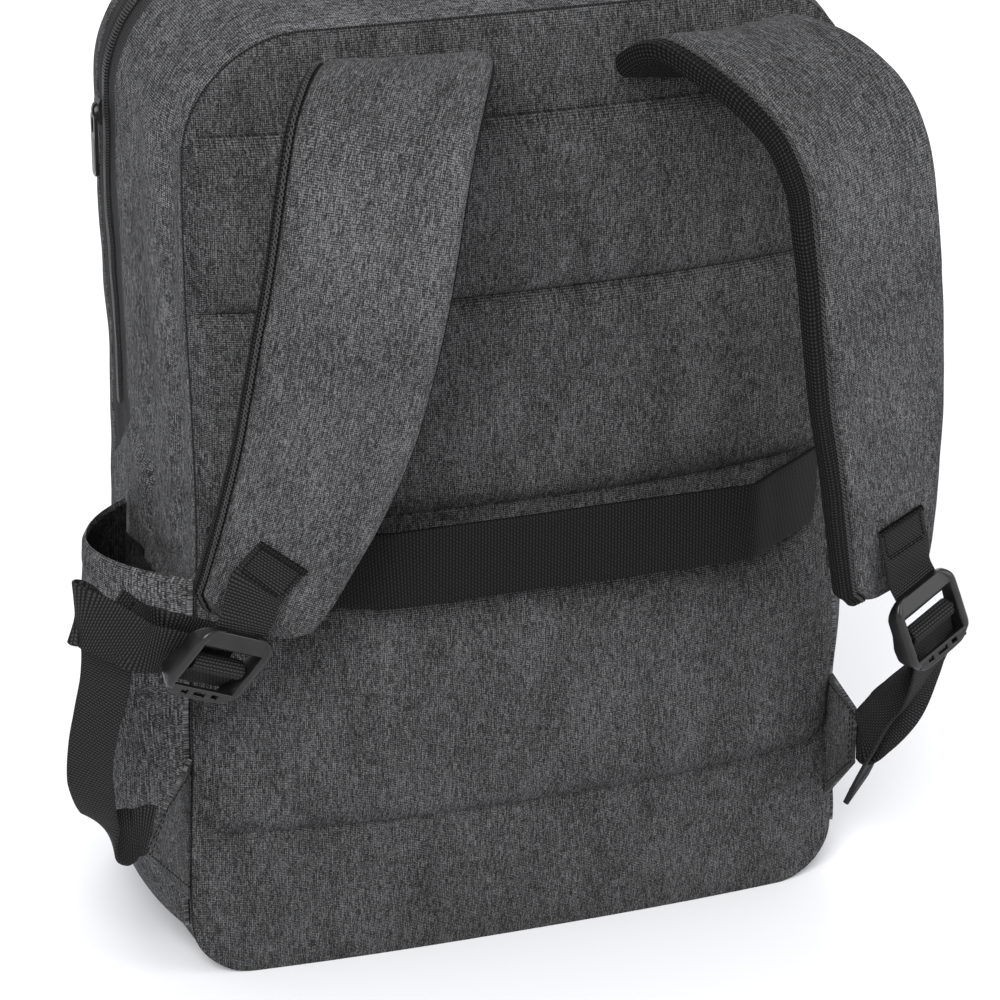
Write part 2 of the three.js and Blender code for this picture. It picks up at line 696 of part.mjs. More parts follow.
// Rows of a webbing route in a buckle's frame: down its length, out of its face and across it.
// The turn of the width direction is in degrees, from across towards down.
function lockSteps(frame, steps) {
  return steps.map(([down, out, slide = 0, turn = 0]) => {
    const angle = THREE.MathUtils.degToRad(turn);
    const wide = frame.across.clone().multiplyScalar(Math.cos(angle))
      .addScaledVector(frame.down, Math.sin(angle));
    const place = lockPoint(frame, down, out).addScaledVector(frame.across, slide);
    return { place, ax: wide.x, ay: wide.y, az: wide.z };
  });
}

const freePlace = (row) => row.place ?? rowPoint(row);

const sewnShares = [0.785, 0.805, 0.825, 0.845];

// The webbing sewn on the pad, which loops round the buckle's upper bar and comes back.
function makePadWebbing(side, padRows, skew) {
  const frame = lockFrames[side];
  const padRoute = makeRoute(padRows);
  const sewn = sewnShares.map((share) => {
    const spot = padRoute(share);
    const rise = shoulderFabric + pieceGap + webbingThick / 2 + webbingSeat;
    const slide = skew * (share - 0.6);
    return {
      place: spot.point.clone().addScaledVector(spot.face, rise).addScaledVector(spot.across, slide),
      ax: spot.across.x,
      ay: spot.across.y,
      az: spot.across.z,
    };
  });
  const turn = lockBarRadius + pieceGap + webbingThick / 2;
  const rows = [
    ...sewn,
    ...lockSteps(frame, [
      [-5, attachOut + 1.5],
      [lockTop * 0.25, attachOut + turn - 0.3],
      [attachDown, attachOut + turn],
      [attachDown + turn * 0.75, attachOut + turn * 0.7],
      [attachDown + turn, attachOut],
      [attachDown + turn * 0.75, attachOut - turn * 0.7],
      [attachDown - 1, attachOut - turn],
    ]),
  ];
  const geometry = bandGeometry(
    makeRoute(rows, freePlace), 34, 1, webbingWidth, -webbingThick / 2, webbingThick / 2,
  );
  addPiece(`pad_webbing_${side}`, geometry, webbingBlack);
}

// The webbing's way round the buckle's middle bar, from its back over its front and behind again.
// Facing is 0 where the width direction points across the buckle, 180 where it points back.
function roundMiddleBar(frame, facing) {
  const turn = lockBarRadius + pieceGap + webbingThick / 2;
  return lockSteps(frame, [
    [middleDown + 1, middleOut - 4.6],
    [middleDown - turn * 0.9, middleOut - 2.8],
    [middleDown - turn * 1.15, middleOut],
    [middleDown - turn * 0.7, middleOut + turn * 0.75],
    [middleDown, middleOut + turn],
    [middleDown + turn * 0.9, middleOut + turn * 0.55],
    [middleDown + turn * 1.6, middleOut - turn * 0.3],
  ].map(([down, out]) => [down, out, 0, facing]));
}

// The left webbing folds over itself behind the buckle, so that it leaves to the left.
const foldIn = lockSteps(lockFrames.left, [
  [21, -13.8, -18, 90],
  [24, -12.4, -8, 112],
  [26.5, -9.5, -2, 140],
  [24.5, -7.4, 0, 165],
]);
const foldOut = lockSteps(lockFrames.left, [
  [28.5, -3, 0, 180],
  [32.5, -7.5, -1, 140],
  [30, -15.5, -9, 112],
  [26, -18, -19, 90],
]);

// The right webbing runs straight in and out below the buckle's lower flange.
const rightIn = lockSteps(lockFrames.right, [[38, -8], [29, -6.6]]);
const rightOut = lockSteps(lockFrames.right, [[30, -2.8], [37, -4.2]]);

const leftWebbingBelow = [
  { x: -1.181, out: 0.193, z: 0.2025, ax: -0.47, ay: 0, az: -0.88 },
  { x: -1.206, out: 0.197, z: 0.2065, ax: -0.47, ay: 0, az: -0.88 },
  { x: -1.235, out: 0.236, z: 0.208, ax: -0.45, ay: -0.2, az: -0.85 },
  { x: -1.275, out: 0.27, z: 0.213, ax: -0.2, ay: -0.8, az: -0.3 },
  { x: -1.33, out: 0.30, z: 0.238, ax: 0.3, ay: -0.9, az: 0.1 },
  { x: -1.365, out: 0.31, z: 0.275, ax: 0.45, ay: -0.85, az: 0.1 },
  { x: -1.37, out: 0.32, z: 0.31, ax: 0.5, ay: -0.8, az: 0.1 },
  { x: -1.35, out: 0.33, z: 0.35, ax: 0.5, ay: -0.75, az: 0.1 },
  { x: -1.325, out: 0.34, z: 0.39, ax: 0.5, ay: -0.6, az: -0.2 },
  { x: -1.335, out: 0.35, z: 0.43, ax: 0.45, ay: -0.3, az: -0.6 },
  { x: -1.38, out: 0.37, z: 0.462, ax: 0.2, ay: -0.1, az: -0.9 },
  { x: -1.42, out: 0.43, z: 0.482, ax: 0.1, ay: 0.1, az: -0.95 },
  { x: -1.39, out: 0.50, z: 0.475, ax: -0.05, ay: -0.25, az: -0.93 },
  { x: -1.33, out: 0.54, z: 0.462, ax: -0.2, ay: -0.45, az: -0.8 },
  { x: -1.25, out: 0.57, z: 0.448, ax: -0.3, ay: -0.5, az: -0.75 },
];

function makeAdjustWebbing(side, rows) {
  const geometry = bandGeometry(
    makeRoute(rows, freePlace), rows.length * 3, 1, webbingWidth, -webbingThick / 2, webbingThick / 2,
  );
  addPiece(`adjust_webbing_${side}`, geometry, webbingBlack);
}

const leftTail = [
  { x: -1.25, out: 0.51, z: 0.455, ax: -0.3, ay: -0.5, az: -0.75 },
  { x: -1.33, out: 0.48, z: 0.472, ax: -0.2, ay: -0.4, az: -0.8 },
];

const rightWebbingBelow = [
  { x: 1.02, out: 0.3, z: 0.195, ax: 0, ay: 0, az: 1 },
  { x: 1.03, out: 0.33, z: 0.197, ax: 0.1, ay: 0.1, az: 1 },
  { x: 1.045, out: 0.37, z: 0.222, ax: 0.4, ay: 0.3, az: 0.75 },
  { x: 1.08, out: 0.46, z: 0.26, ax: 0.7, ay: 0.4, az: 0.5 },
];

const rightTail = [
  { x: 1.165, out: 0.51, z: 0.268, ax: 0.75, ay: 0.4, az: 0.3 },
  { x: 1.13, out: 0.44, z: 0.236, ax: 0.7, ay: 0.5, az: 0.2 },
  { x: 1.095, out: 0.38, z: 0.20, ax: 0.6, ay: 0.6, az: 0.1 },
  { x: 1.07, out: 0.31, z: 0.165, ax: 0.6, ay: 0.6, az: 0.1 },
  { x: 1.05, out: 0.24, z: 0.13, ax: 0.6, ay: 0.6, az: 0.1 },
];

// A piece of cloth sewn in the side seam, whose free edge holds the lower webbing.
function makeGusset(side, edgeHead, edgeFoot) {
  const rightward = side === 'right' ? 1 : -1;
  const seam = (z) => {
    const x = rightward * (halfWidth * waistShare(z, rightward) + 2 * pieceGap + gussetWall / 2);
    return new THREE.Vector3(x, backSeamY, z);
  };
  const corners = [seam(gussetHead), seam(gussetFoot), rowPoint(edgeHead), rowPoint(edgeFoot)];
  const normal = new THREE.Vector3().crossVectors(
    corners[2].clone().sub(corners[1]), corners[3].clone().sub(corners[0]),
  ).normalize().multiplyScalar(gussetWall / 2);
  const point = (way) => (u, v) => {
    const sewn = corners[0].clone().lerp(corners[1], v);
    const free = corners[2].clone().lerp(corners[3], v);
    return sewn.lerp(free, u).addScaledVector(normal, way);
  };
  addPiece(`side_gusset_${side}`, wallGeometry(3, 4, point(1), point(-1)), wovenGrey);
}

// Plan of a pocket's rim: at is the share of its length along the side from the back seam.
const pocketRows = [
  { at: 0.0, bulge: 0.0 },
  { at: 0.1, bulge: 0.34 },
  { at: 0.25, bulge: 0.72 },
  { at: 0.42, bulge: 0.96 },
  { at: 0.58, bulge: 1.0 },
  { at: 0.74, bulge: 0.8 },
  { at: 0.88, bulge: 0.45 },
  { at: 1.0, bulge: 0.0 },
];

// How the bulge grows from the base to the rim, as shares of the rim's height.
const pocketHeightRows = [
  { at: 0.0, bulge: 0.1 },
  { at: 0.15, bulge: 0.45 },
  { at: 0.4, bulge: 0.8 },
  { at: 0.65, bulge: 1.0 },
  { at: 1.0, bulge: 1.0 },
];

function makePocket(side, bulge) {
  const rightward = side === 'right' ? 1 : -1;
  const foot = cornerBase;
  const point = (under) => (u, v) => {
    const y = backSeamY + 2 + u * pocketDepth;
    const rise = readTable(pocketHeightRows, 'bulge', v);
    const z = THREE.MathUtils.lerp(foot, pocketRim, v);
    const station = { x: rightward * halfWidth, z, outX: rightward, outZ: 0 };
    const out = pocketWall + pocketSeat + rise * bulge * readTable(pocketRows, 'bulge', u) - under;
    const spot = sidePoint(station, y, -out);
    return spot;
  };
  addPiece(`bottle_pocket_${side}`, wallGeometry(14, 7, point(0), point(pocketWall)), wovenGrey);
}

// A plain padded handle that stands in a low arch over the top, behind the zipper.
function makeHandle() {
  const half = handleSpan / 2;
  const y = (backSeamY + zipperY - zipperBandWidth / 2) / 2 - 6;
  const frontShare = (y + handleWidth / 2 - backSeamY) / bodyDepth;
  const foot = bodyHeight + sideBulge * readTable(swellRows, 'swell', frontShare) + pieceGap;
  const shape = [[-1.25, 0], [-1, 0.02], [-0.8, 0.35], [-0.5, 0.85], [0, 1]];
  const mirrored = shape.slice(0, -1).reverse().map(([x, z]) => [-x, z]);
  const rows = [...shape, ...mirrored].map(([x, z]) => ({
    place: new THREE.Vector3(x * half, y, foot + handleThick / 2 + z * handleRise),
    ax: 0,
    ay: 1,
    az: 0,
  }));
  const geometry = bandGeometry(
    makeRoute(rows, freePlace), 24, 2, handleWidth, -handleThick / 2, handleThick / 2,
  );
  addPiece('grab_handle', geometry, wovenGrey);
}

makeSideBand();
makeZipper();
makeSlider('zipper_slider_left', -1);
makeSlider('zipper_slider_right', 1);
makeFrontCompartment();
makeBackPanel();
makeBackPad('back_pad_lower', lowerPadFoot, lowerPadHead, 1, 1);
makeBackPad('back_pad_middle', middlePadFoot, topPadFoot - pieceGap, 1, 0);
makeBackPad('back_pad_top', topPadFoot + pieceGap, topPadHead, 0, 0);
makeShoulderStrap('left', leftPadRows);
makeShoulderStrap('right', rightPadRows);
makeLuggageStrap();
makeLadderLock('left');
makeLadderLock('right');
makePadWebbing('left', leftPadRows, 0);
makePadWebbing('right', rightPadRows, 20);
makeAdjustWebbing('left', [
  ...leftWebbingBelow, ...foldIn, ...roundMiddleBar(lockFrames.left, 180), ...foldOut, ...leftTail,
]);
makeAdjustWebbing('right', [
  ...rightWebbingBelow, ...rightIn, ...roundMiddleBar(lockFrames.right, 0), ...rightOut, ...rightTail,
]);
makeGusset('left', { x: -1.135, out: 0.19, z: 0.225 }, { x: -1.21, out: 0.19, z: 0.178 });
makeGusset('right', { x: 1.02, out: 0.285, z: 0.226 }, { x: 1.02, out: 0.285, z: 0.164 });
makePocket('left', pocketBulgeLeft);
makePocket('right', pocketBulgeRight);
makeHandle();

export default root;
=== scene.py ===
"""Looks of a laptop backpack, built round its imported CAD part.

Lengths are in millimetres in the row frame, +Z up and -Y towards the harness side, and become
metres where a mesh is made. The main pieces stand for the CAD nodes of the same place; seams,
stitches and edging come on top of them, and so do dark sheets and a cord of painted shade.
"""

import math

import bmesh
import bpy
import numpy as np
from mathutils import Matrix, Vector


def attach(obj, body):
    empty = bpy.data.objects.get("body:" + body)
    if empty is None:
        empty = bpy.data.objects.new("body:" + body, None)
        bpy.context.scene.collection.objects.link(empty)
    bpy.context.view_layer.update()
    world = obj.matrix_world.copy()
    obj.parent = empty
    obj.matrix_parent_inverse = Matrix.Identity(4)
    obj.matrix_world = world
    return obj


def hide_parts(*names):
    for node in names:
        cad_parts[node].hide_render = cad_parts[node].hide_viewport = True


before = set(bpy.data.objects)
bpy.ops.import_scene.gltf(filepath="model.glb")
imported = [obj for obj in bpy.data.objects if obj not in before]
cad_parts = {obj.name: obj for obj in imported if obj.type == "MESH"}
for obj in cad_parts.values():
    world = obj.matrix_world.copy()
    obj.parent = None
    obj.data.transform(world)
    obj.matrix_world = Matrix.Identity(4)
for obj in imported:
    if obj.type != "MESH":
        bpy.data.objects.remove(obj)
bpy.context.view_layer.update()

MM = 0.001
RING_HELPER = (0.31, 0.83, 0.46)  # an odd direction, from which the rings of a tube are turned
UV_NAME = "Weave"

# Driving dimensions, as in the CAD part
BODY_HEIGHT = 440.0
BODY_WIDTH = 300.0
BODY_DEPTH = 150.0
CORNER_TOP = 50.0
CORNER_BASE = 26.0
SIDE_BULGE = 7.0
CLOTH_WALL = 2.2
BACK_CROWN = 18.0
BACK_WALL = 3.3
FRONT_ROUND = 42.0
FRONT_CROWN = 6.0
ZIPPER_FROM_BACK = 104.0
ZIPPER_BAND = 34.0
ZIPPER_FOOT = 208.0
ZIPPER_HEAD = 238.3
PAD_SWELL = 9.0
PAD_EDGE = 1.6
PAD_SEAT = 4.2
PAD_CORNER = 14.0
PAD_INSET = 2.0
PAD_ROLL = 5.0
PAD_THINNEST = 0.8
SLEEVE_WIDTH = 36.0
SLEEVE_THICK = 2.2
SLEEVE_HEIGHT = 211.5
SLEEVE_REACH = 47.0
SLEEVE_SAG = 5.0
STRAP_REACH = 100.0
SHOULDER_WIDTH = 76.0
SHOULDER_FABRIC = 4.6
SHOULDER_MESH = 6.4
MESH_ROLL = {"left": 4.2, "right": 8.2}
WEBBING_WIDTH = 25.0
WEBBING_THICK = 1.6
WEBBING_SEAT = 0.6
LOCK_WINDOW = 26.6
LOCK_CHEEK = 5.0
LOCK_TOP = 8.0
LOCK_OPENING = 24.6
LOCK_FLANGE = 6.0
LOCK_BAR = 1.8
LOCK_FRONT = 4.0
LOCK_CORNER = 8.0
POCKET_RIM = 197.0
POCKET_DEPTH = 92.0
POCKET_WALL = 1.8

# Fineness of the shapes, and sizes that only the dressing has
STATION_STEP = 3.5
STRAIGHT_RINGS = 3
ROUND_RINGS = 16
POCKET_SEAM_ROW = 61
RIPPLE_WAVES = 8
TEETH_COUNT = 519
TOOTH_SHARE = 0.62
MESH_PITCH = 3.4

HALF_WIDTH = BODY_WIDTH / 2
BACK_Y = -BODY_DEPTH / 2
FRONT_Y = BODY_DEPTH / 2
ZIPPER_Y = BACK_Y + ZIPPER_FROM_BACK

# The photograph's camera: place in mm, turn to the right, tilt down, roll and lens
CAMERA_PLACE = (-538.9, -1602.8, 947.2)
CAMERA_TURN = math.radians(19.082)
CAMERA_TILT = math.radians(24.345)
CAMERA_ROLL = math.radians(0.444)
CAMERA_LENS = 145.25
SENSOR = 36.0


def named(columns, rows):
    """Rows of a table as dictionaries, from its column names and plain tuples."""
    return [dict(zip(columns.split(), row)) for row in rows]


def table(rows, column, at):
    """Smooth reading of a table's column at one or many places of its column "at"."""
    keys = np.array([row["at"] for row in rows], float)
    values = np.array([row[column] for row in rows], float)
    slopes = np.gradient(values, keys)
    at = np.clip(np.asarray(at, float), keys[0], keys[-1])
    low = np.clip(np.searchsorted(keys, at) - 1, 0, len(keys) - 2)
    span = keys[low + 1] - keys[low]
    t = (at - keys[low]) / span
    keep = 2 * t**3 - 3 * t**2 + 1
    rise = (t**3 - 2 * t**2 + t) * span
    fall = (t**3 - t**2) * span
    return keep * values[low] + rise * slopes[low] + (1 - keep) * values[low + 1] + fall * slopes[low + 1]


def ripple(a, b, size, seed):
    """Soft seeded unevenness of about -1 to 1 over places a and b in mm."""
    random = np.random.default_rng(seed)
    total = 0.0
    for _ in range(RIPPLE_WAVES):
        angle = random.uniform(0, math.tau)
        pitch = size * random.uniform(0.6, 1.7)
        phase = random.uniform(0, math.tau)
        total = total + np.sin(math.tau * (a * math.cos(angle) + b * math.sin(angle)) / pitch + phase)
    return total / math.sqrt(2 * RIPPLE_WAVES)


def smooth(low, high, at):
    """0 before low, 1 after high and a soft step between them."""
    t = np.clip((np.asarray(at, float) - low) / (high - low), 0, 1)
    return t * t * (3 - 2 * t)


def unit(vectors):
    length = np.linalg.norm(vectors, axis=-1, keepdims=True)
    return vectors / np.maximum(length, 1e-9)


def run_along(points):
    """Distance run along a line up to each of its points."""
    return np.concatenate([[0], np.cumsum(np.linalg.norm(np.diff(points, axis=0), axis=1))])


def crease(fold, a, b):
    """Depth of a fold at places a and b; it runs straight between its two ends."""
    (a0, b0), (a1, b1) = fold["from"], fold["to"]
    run_a, run_b = a1 - a0, b1 - b0
    t = np.clip(((a - a0) * run_a + (b - b0) * run_b) / (run_a**2 + run_b**2), 0, 1)
    away = np.hypot(a - (a0 + t * run_a), b - (b0 + t * run_b))
    return fold["deep"] * np.exp(-((away / fold["wide"]) ** 2))


def catmull(points, shares):
    """Centripetal curve through points, read at shares that give each span the same part."""
    points = np.asarray(points, float)
    ends = np.vstack([2 * points[0] - points[1], points, 2 * points[-1] - points[-2]])
    spans = len(points) - 1
    place = np.clip(np.asarray(shares, float), 0, 1) * spans
    low = np.minimum(place.astype(int), spans - 1)
    t = (place - low)[:, None]
    p0, p1, p2, p3 = (ends[low + k] for k in range(4))
    d0, d1, d2 = (np.sqrt(np.linalg.norm(b - a, axis=1))[:, None] for a, b in ((p0, p1), (p1, p2), (p2, p3)))
    start = ((p1 - p0) / d0 - (p2 - p0) / (d0 + d1) + (p2 - p1) / d1) * d1
    end = ((p2 - p1) / d1 - (p3 - p1) / (d1 + d2) + (p3 - p2) / d2) * d1
    return (
        (2 * t**3 - 3 * t**2 + 1) * p1
        + (t**3 - 2 * t**2 + t) * start
        + (3 * t**2 - 2 * t**3) * p2
        + (t**3 - t**2) * end
    )


def row_point(row):
    """Place of a strap table's row: x in half widths, out in strap reaches, z in body heights."""
    if "place" in row:
        return np.array(row["place"], float)
    return np.array([row["x"] * HALF_WIDTH, BACK_Y - row["out"] * STRAP_REACH, row["z"] * BODY_HEIGHT])


class Route:
    """A strap's middle line with its width and face directions at many shares."""

    def __init__(self, rows, shares):
        points = [row_point(row) for row in rows]
        keys = np.linspace(0, 1, len(rows))
        self.shares = np.asarray(shares, float)
        self.point = catmull(points, self.shares)
        nudge = 0.0005
        tangent = unit(catmull(points, self.shares + nudge) - catmull(points, self.shares - nudge))
        columns = [[row[c] for row in rows] for c in ("ax", "ay", "az")]
        wide = np.stack([np.interp(self.shares, keys, column) for column in columns], 1)
        wide = wide - tangent * np.sum(wide * tangent, 1, keepdims=True)
        self.across = unit(wide)
        self.face = unit(np.cross(tangent, self.across))
        self.size = np.interp(self.shares, keys, [row.get("size", 1.0) for row in rows])
        self.run = run_along(self.point)

    def place(self, index, side, rise):
        return self.point[index] + self.across[index] * side + self.face[index] * rise


def make_object(name, mesh, material, nodes=()):
    piece = bpy.data.objects.new(name, mesh)
    bpy.context.scene.collection.objects.link(piece)
    mesh.materials.append(material)
    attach(piece, "root")
    if nodes:
        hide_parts(*nodes)
    return piece


def new_mesh(name, points, faces):
    """A mesh from points in mm."""
    mesh = bpy.data.meshes.new(name)
    mesh.from_pydata((np.array(points) * MM).tolist(), [], faces)
    return mesh


def turn_outwards(mesh, weld=0.0):
    """Turns a mesh's faces outwards and smooths them, after welding points nearer than weld."""
    bm = bmesh.new()
    bm.from_mesh(mesh)
    if weld:
        bmesh.ops.remove_doubles(bm, verts=bm.verts, dist=weld * MM)
    bmesh.ops.recalc_face_normals(bm, faces=bm.faces)
    bm.to_mesh(mesh)
    bm.free()
    mesh.polygons.foreach_set("use_smooth", [True] * len(mesh.polygons))


def skin(name, grids, material, nodes=(), sharp=60, weld=0.02):
    """A mesh from grids of points in mm, each with the weave's u and v in mm at every point."""
    points, uvs, faces = [], [], []
    offset = 0
    for place, weave in grids:
        rows, columns = place.shape[:2]
        index = np.arange(rows * columns).reshape(rows, columns) + offset
        quads = np.stack([index[:-1, :-1], index[:-1, 1:], index[1:, 1:], index[1:, :-1]], -1)
        points.append(place.reshape(-1, 3))
        uvs.append(np.broadcast_to(weave, (rows, columns, 2)).reshape(-1, 2))
        faces.append(quads.reshape(-1, 4))
        offset += rows * columns
    uvs = np.concatenate(uvs) * MM
    faces = np.concatenate(faces)
    mesh = new_mesh(name, np.concatenate(points), faces.tolist())
    layer = mesh.uv_layers.new(name=UV_NAME)
    layer.data.foreach_set("uv", uvs[faces.reshape(-1)].astype(np.float32).ravel())
    turn_outwards(mesh, weld)
    mesh.set_sharp_from_angle(angle=math.radians(sharp))
    return make_object(name, mesh, material, nodes)


def wall(outer, inner, weave, cuts=((0, 0), (0, -1), (1, 0), (1, -1))):
    """The grids of a wall: its two faces, and a rim for each cut, an axis and the end on it."""
    grids = [(outer, weave), (inner, weave)]
    for axis, end in cuts:
        rim = [np.take(grid, [end], axis) for grid in (outer, inner, weave, weave)]
        grids.append((np.concatenate(rim[:2], axis), np.concatenate(rim[2:], axis)))
    return grids


def ring_section(width, low, high, rounding, count):
    """Points once round a flat section as (side, rise), with rounded edges."""
    half = width / 2
    radius = min(rounding, (high - low) / 2)
    corners = (
        (half - radius, low + radius, -90, 0),
        (half - radius, high - radius, 0, 90),
        (-half + radius, high - radius, 90, 180),
        (-half + radius, low + radius, 180, 270),
    )
    ring = []
    for side, rise, start, stop in corners:
        for angle in np.radians(np.linspace(start, stop, count)):
            ring.append((side + radius * math.cos(angle), rise + radius * math.sin(angle)))
    return ring


def capped(place, weave):
    """The grids of a closed band of rings: itself and its two ends."""
    grids = [(place, weave)]
    for end in (0, -1):
        middle = np.broadcast_to(place[end, :-1].mean(0), place[end].shape)
        grids.append((np.stack([place[end], middle]), np.stack([weave[end], weave[end]])))
    return grids


def sweep(name, route, section, material, nodes):
    """A closed band along a route; section(index) gives its ring of (side, rise) in mm."""
    rings, weaves = [], []
    for index in range(len(route.shares)):
        ring = np.array(section(index), float)
        ring = np.vstack([ring, ring[:1]])
        place = route.point[index] + ring[:, :1] * route.across[index] + ring[:, 1:] * route.face[index]
        rings.append(place)
        weaves.append(np.stack([run_along(ring), np.full(len(ring), route.run[index])], 1))
    return skin(name, capped(np.array(rings), np.array(weaves)), material, nodes, 50)


def flat_section(width, thick, columns, rounding=0.7, middle=0.0):
    """Section of a ribbon whose faces have several columns, so that they can bend and ripple."""
    half, radius = width / 2 - rounding, min(rounding, thick / 2)
    flat = np.linspace(-half, half, columns)
    edge = np.radians([-50, 0, 50])
    ring = [(side, middle - thick / 2) for side in flat]
    ring += [(half + radius * math.cos(a), middle + thick / 2 * math.sin(a)) for a in edge]
    ring += [(side, middle + thick / 2) for side in flat[::-1]]
    ring += [(-half - radius * math.cos(a), middle - thick / 2 * math.sin(a)) for a in edge]
    return ring


def stitches(name, lines, length=2.4, gap=1.0, radius=0.3):
    """Small rounded thread dashes along lines of (points, normals), in mm."""
    points, faces = [], []
    profile = [(math.cos(a), max(math.sin(a), -0.4)) for a in np.linspace(0, math.tau, 7)[:-1]]
    for line, normals in lines:
        line, normals = np.asarray(line, float), np.asarray(normals, float)
        run = run_along(line)
        count = int(run[-1] / (length + gap))
        for k in range(count):
            start = k * (length + gap) + gap / 2
            marks = np.linspace(start, start + length, 4)
            spot = np.stack([np.interp(marks, run, line[:, c]) for c in range(3)], 1)
            up = unit(np.stack([np.interp(marks, run, normals[:, c]) for c in range(3)], 1))
            along = unit(spot[-1] - spot[0])
            side = unit(np.cross(np.broadcast_to(along, up.shape), up))
            base = len(points)
            for i, swell in enumerate((0.25, 1.0, 1.0, 0.25)):
                for a, b in profile:
                    points.append(spot[i] + side[i] * a * radius * swell + up[i] * b * radius * swell)
            count_round = len(profile)
            for i in range(3):
                for j in range(count_round):
                    a = base + i * count_round + j
                    b = base + i * count_round + (j + 1) % count_round
                    faces.append((a, b, b + count_round, a + count_round))
            faces.append(tuple(base + j for j in range(count_round))[::-1])
            faces.append(tuple(base + 3 * count_round + j for j in range(count_round)))
    mesh = new_mesh(name, points, faces)
    mesh.polygons.foreach_set("use_smooth", [True] * len(mesh.polygons))
    make_object(name, mesh, THREAD)


def box_seam(route, low, high, half, count, rise, more=()):
    """Stitch lines round a rectangle of webbing, between two runs of its route."""
    near = [i for i in range(len(route.run)) if low < route.run[i] < high]
    lines = [([route.place(i, s, rise) for i in near], [route.face[i] for i in near]) for s in (-half, half)]
    for i in (near[0], near[-1], *(near[k] for k in more)):
        sides = np.linspace(-half, half, count)
        lines.append(([route.place(i, s, rise) for s in sides], [route.face[i]] * count))
    return lines


class Shader:
    """Small helper for building a material's nodes."""

    def __init__(self, name):
        self.material = bpy.data.materials.new(name)
        self.material.use_nodes = True
        self.tree = self.material.node_tree
        self.surface = self.tree.nodes["Principled BSDF"]

    def node(self, kind, **settings):
        made = self.tree.nodes.new(kind)
        for key, value in settings.items():
            setattr(made, key, value)
        return made

    def link(self, source, target):
        self.tree.links.new(source, target)

    def math(self, operation, a, b=None, c=None):
        made = self.node("ShaderNodeMath", operation=operation)
        for index, value in enumerate((a, b, c)):
            if value is None:
                continue
            if isinstance(value, (int, float)):
                made.inputs[index].default_value = value
            else:
                self.link(value, made.inputs[index])
        return made.outputs[0]

    def weave(self):
        """The weave's u and v, in millimetres."""
        uv = self.node("ShaderNodeUVMap", uv_map=UV_NAME)
        split = self.node("ShaderNodeSeparateXYZ")
        self.link(uv.outputs[0], split.inputs[0])
        return tuple(self.math("MULTIPLY", split.outputs[axis], 1 / MM) for axis in (0, 1))

    def place(self, u, v, scale_u, scale_v, shift=0.0):
        joined = self.node("ShaderNodeCombineXYZ")
        self.link(self.math("MULTIPLY", u, scale_u), joined.inputs[0])
        self.link(self.math("MULTIPLY", v, scale_v), joined.inputs[1])
        joined.inputs[2].default_value = shift
        return joined.outputs[0]

    def noise(self, vector, scale, detail, roughness=0.5):
        made = self.node("ShaderNodeTexNoise")
        made.inputs["Scale"].default_value = scale
        made.inputs["Detail"].default_value = detail
        made.inputs["Roughness"].default_value = roughness
        self.link(vector, made.inputs["Vector"])
        return made.outputs["Fac"]

    def cell(self, u, v, wide, long):
        """A random number of 0 to 1 for each cell of the weave, its size in millimetres."""
        joined = self.node("ShaderNodeCombineXYZ")
        self.link(self.math("FLOOR", self.math("DIVIDE", u, wide)), joined.inputs[0])
        self.link(self.math("FLOOR", self.math("DIVIDE", v, long)), joined.inputs[1])
        made = self.node("ShaderNodeTexWhiteNoise", noise_dimensions="2D")
        self.link(joined.outputs[0], made.inputs["Vector"])
        return made.outputs["Value"]

    def wave(self, value, pitch, phase=0.0):
        """A sine of -1 to 1 with a pitch in millimetres."""
        turned = self.math("MULTIPLY_ADD", value, math.tau / pitch, phase)
        return self.math("SINE", turned)

    def ramp(self, value, stops):
        made = self.node("ShaderNodeValToRGB")
        elements = made.color_ramp.elements
        while len(elements) < len(stops):
            elements.new(0.5)
        for element, (place, grey) in zip(elements, stops):
            element.position = place
            element.color = (grey, grey, grey * 1.015, 1)
        self.link(value, made.inputs[0])
        return made.outputs[0]

    def bump(self, height, distance, strength):
        made = self.node("ShaderNodeBump")
        made.inputs["Strength"].default_value = strength
        made.inputs["Distance"].default_value = distance * MM
        self.link(height, made.inputs["Height"])
        self.link(made.outputs[0], self.surface.inputs["Normal"])

    def finish(self, roughness, specular):
        self.surface.inputs["Roughness"].default_value = roughness
        self.surface.inputs["Specular IOR Level"].default_value = specular
        return self.material


def woven(name, dark, light):
    """Melange cloth: every thread crossing has its own tone, and pale slubs run along v."""
    shader = Shader(name)
    u, v = shader.weave()
    crossing = shader.cell(u, v, 0.42, 0.46)
    dash = shader.cell(u, v, 0.46, 3.6)
    slub = shader.noise(shader.place(u, v, 2.1, 0.13), 1.0, 2.0, 0.6)
    cloud = shader.noise(shader.place(u, v, 0.05, 0.02, 3.0), 1.0, 2.0, 0.5)
    warp = shader.wave(u, 0.84)
    weft = shader.wave(v, 0.92)
    tone = shader.math("MULTIPLY_ADD", slub, 0.42, -0.21)
    for part, share in ((crossing, 0.36), (dash, 0.2), (cloud, 0.22), (weft, 0.1), (warp, 0.07)):
        tone = shader.math("MULTIPLY_ADD", part, share, tone)
    middle = 0.5 * (0.36 + 0.2 + 0.22)
    stops = [(0.5 - 0.34, dark * 0.3), (0.5 - 0.08, dark), (0.5 + 0.12, light * 0.5), (0.5 + 0.34, light)]
    shade = shader.ramp(shader.math("ADD", tone, 0.5 - middle), stops)
    shader.link(shade, shader.surface.inputs["Base Color"])
    height = shader.math("MULTIPLY_ADD", weft, 1.0, warp)
    height = shader.math("MULTIPLY_ADD", crossing, 1.2, height)
    height = shader.math("MULTIPLY_ADD", slub, 1.0, height)
    shader.bump(height, 0.14, 0.6)
    return shader.finish(0.95, 0.1)


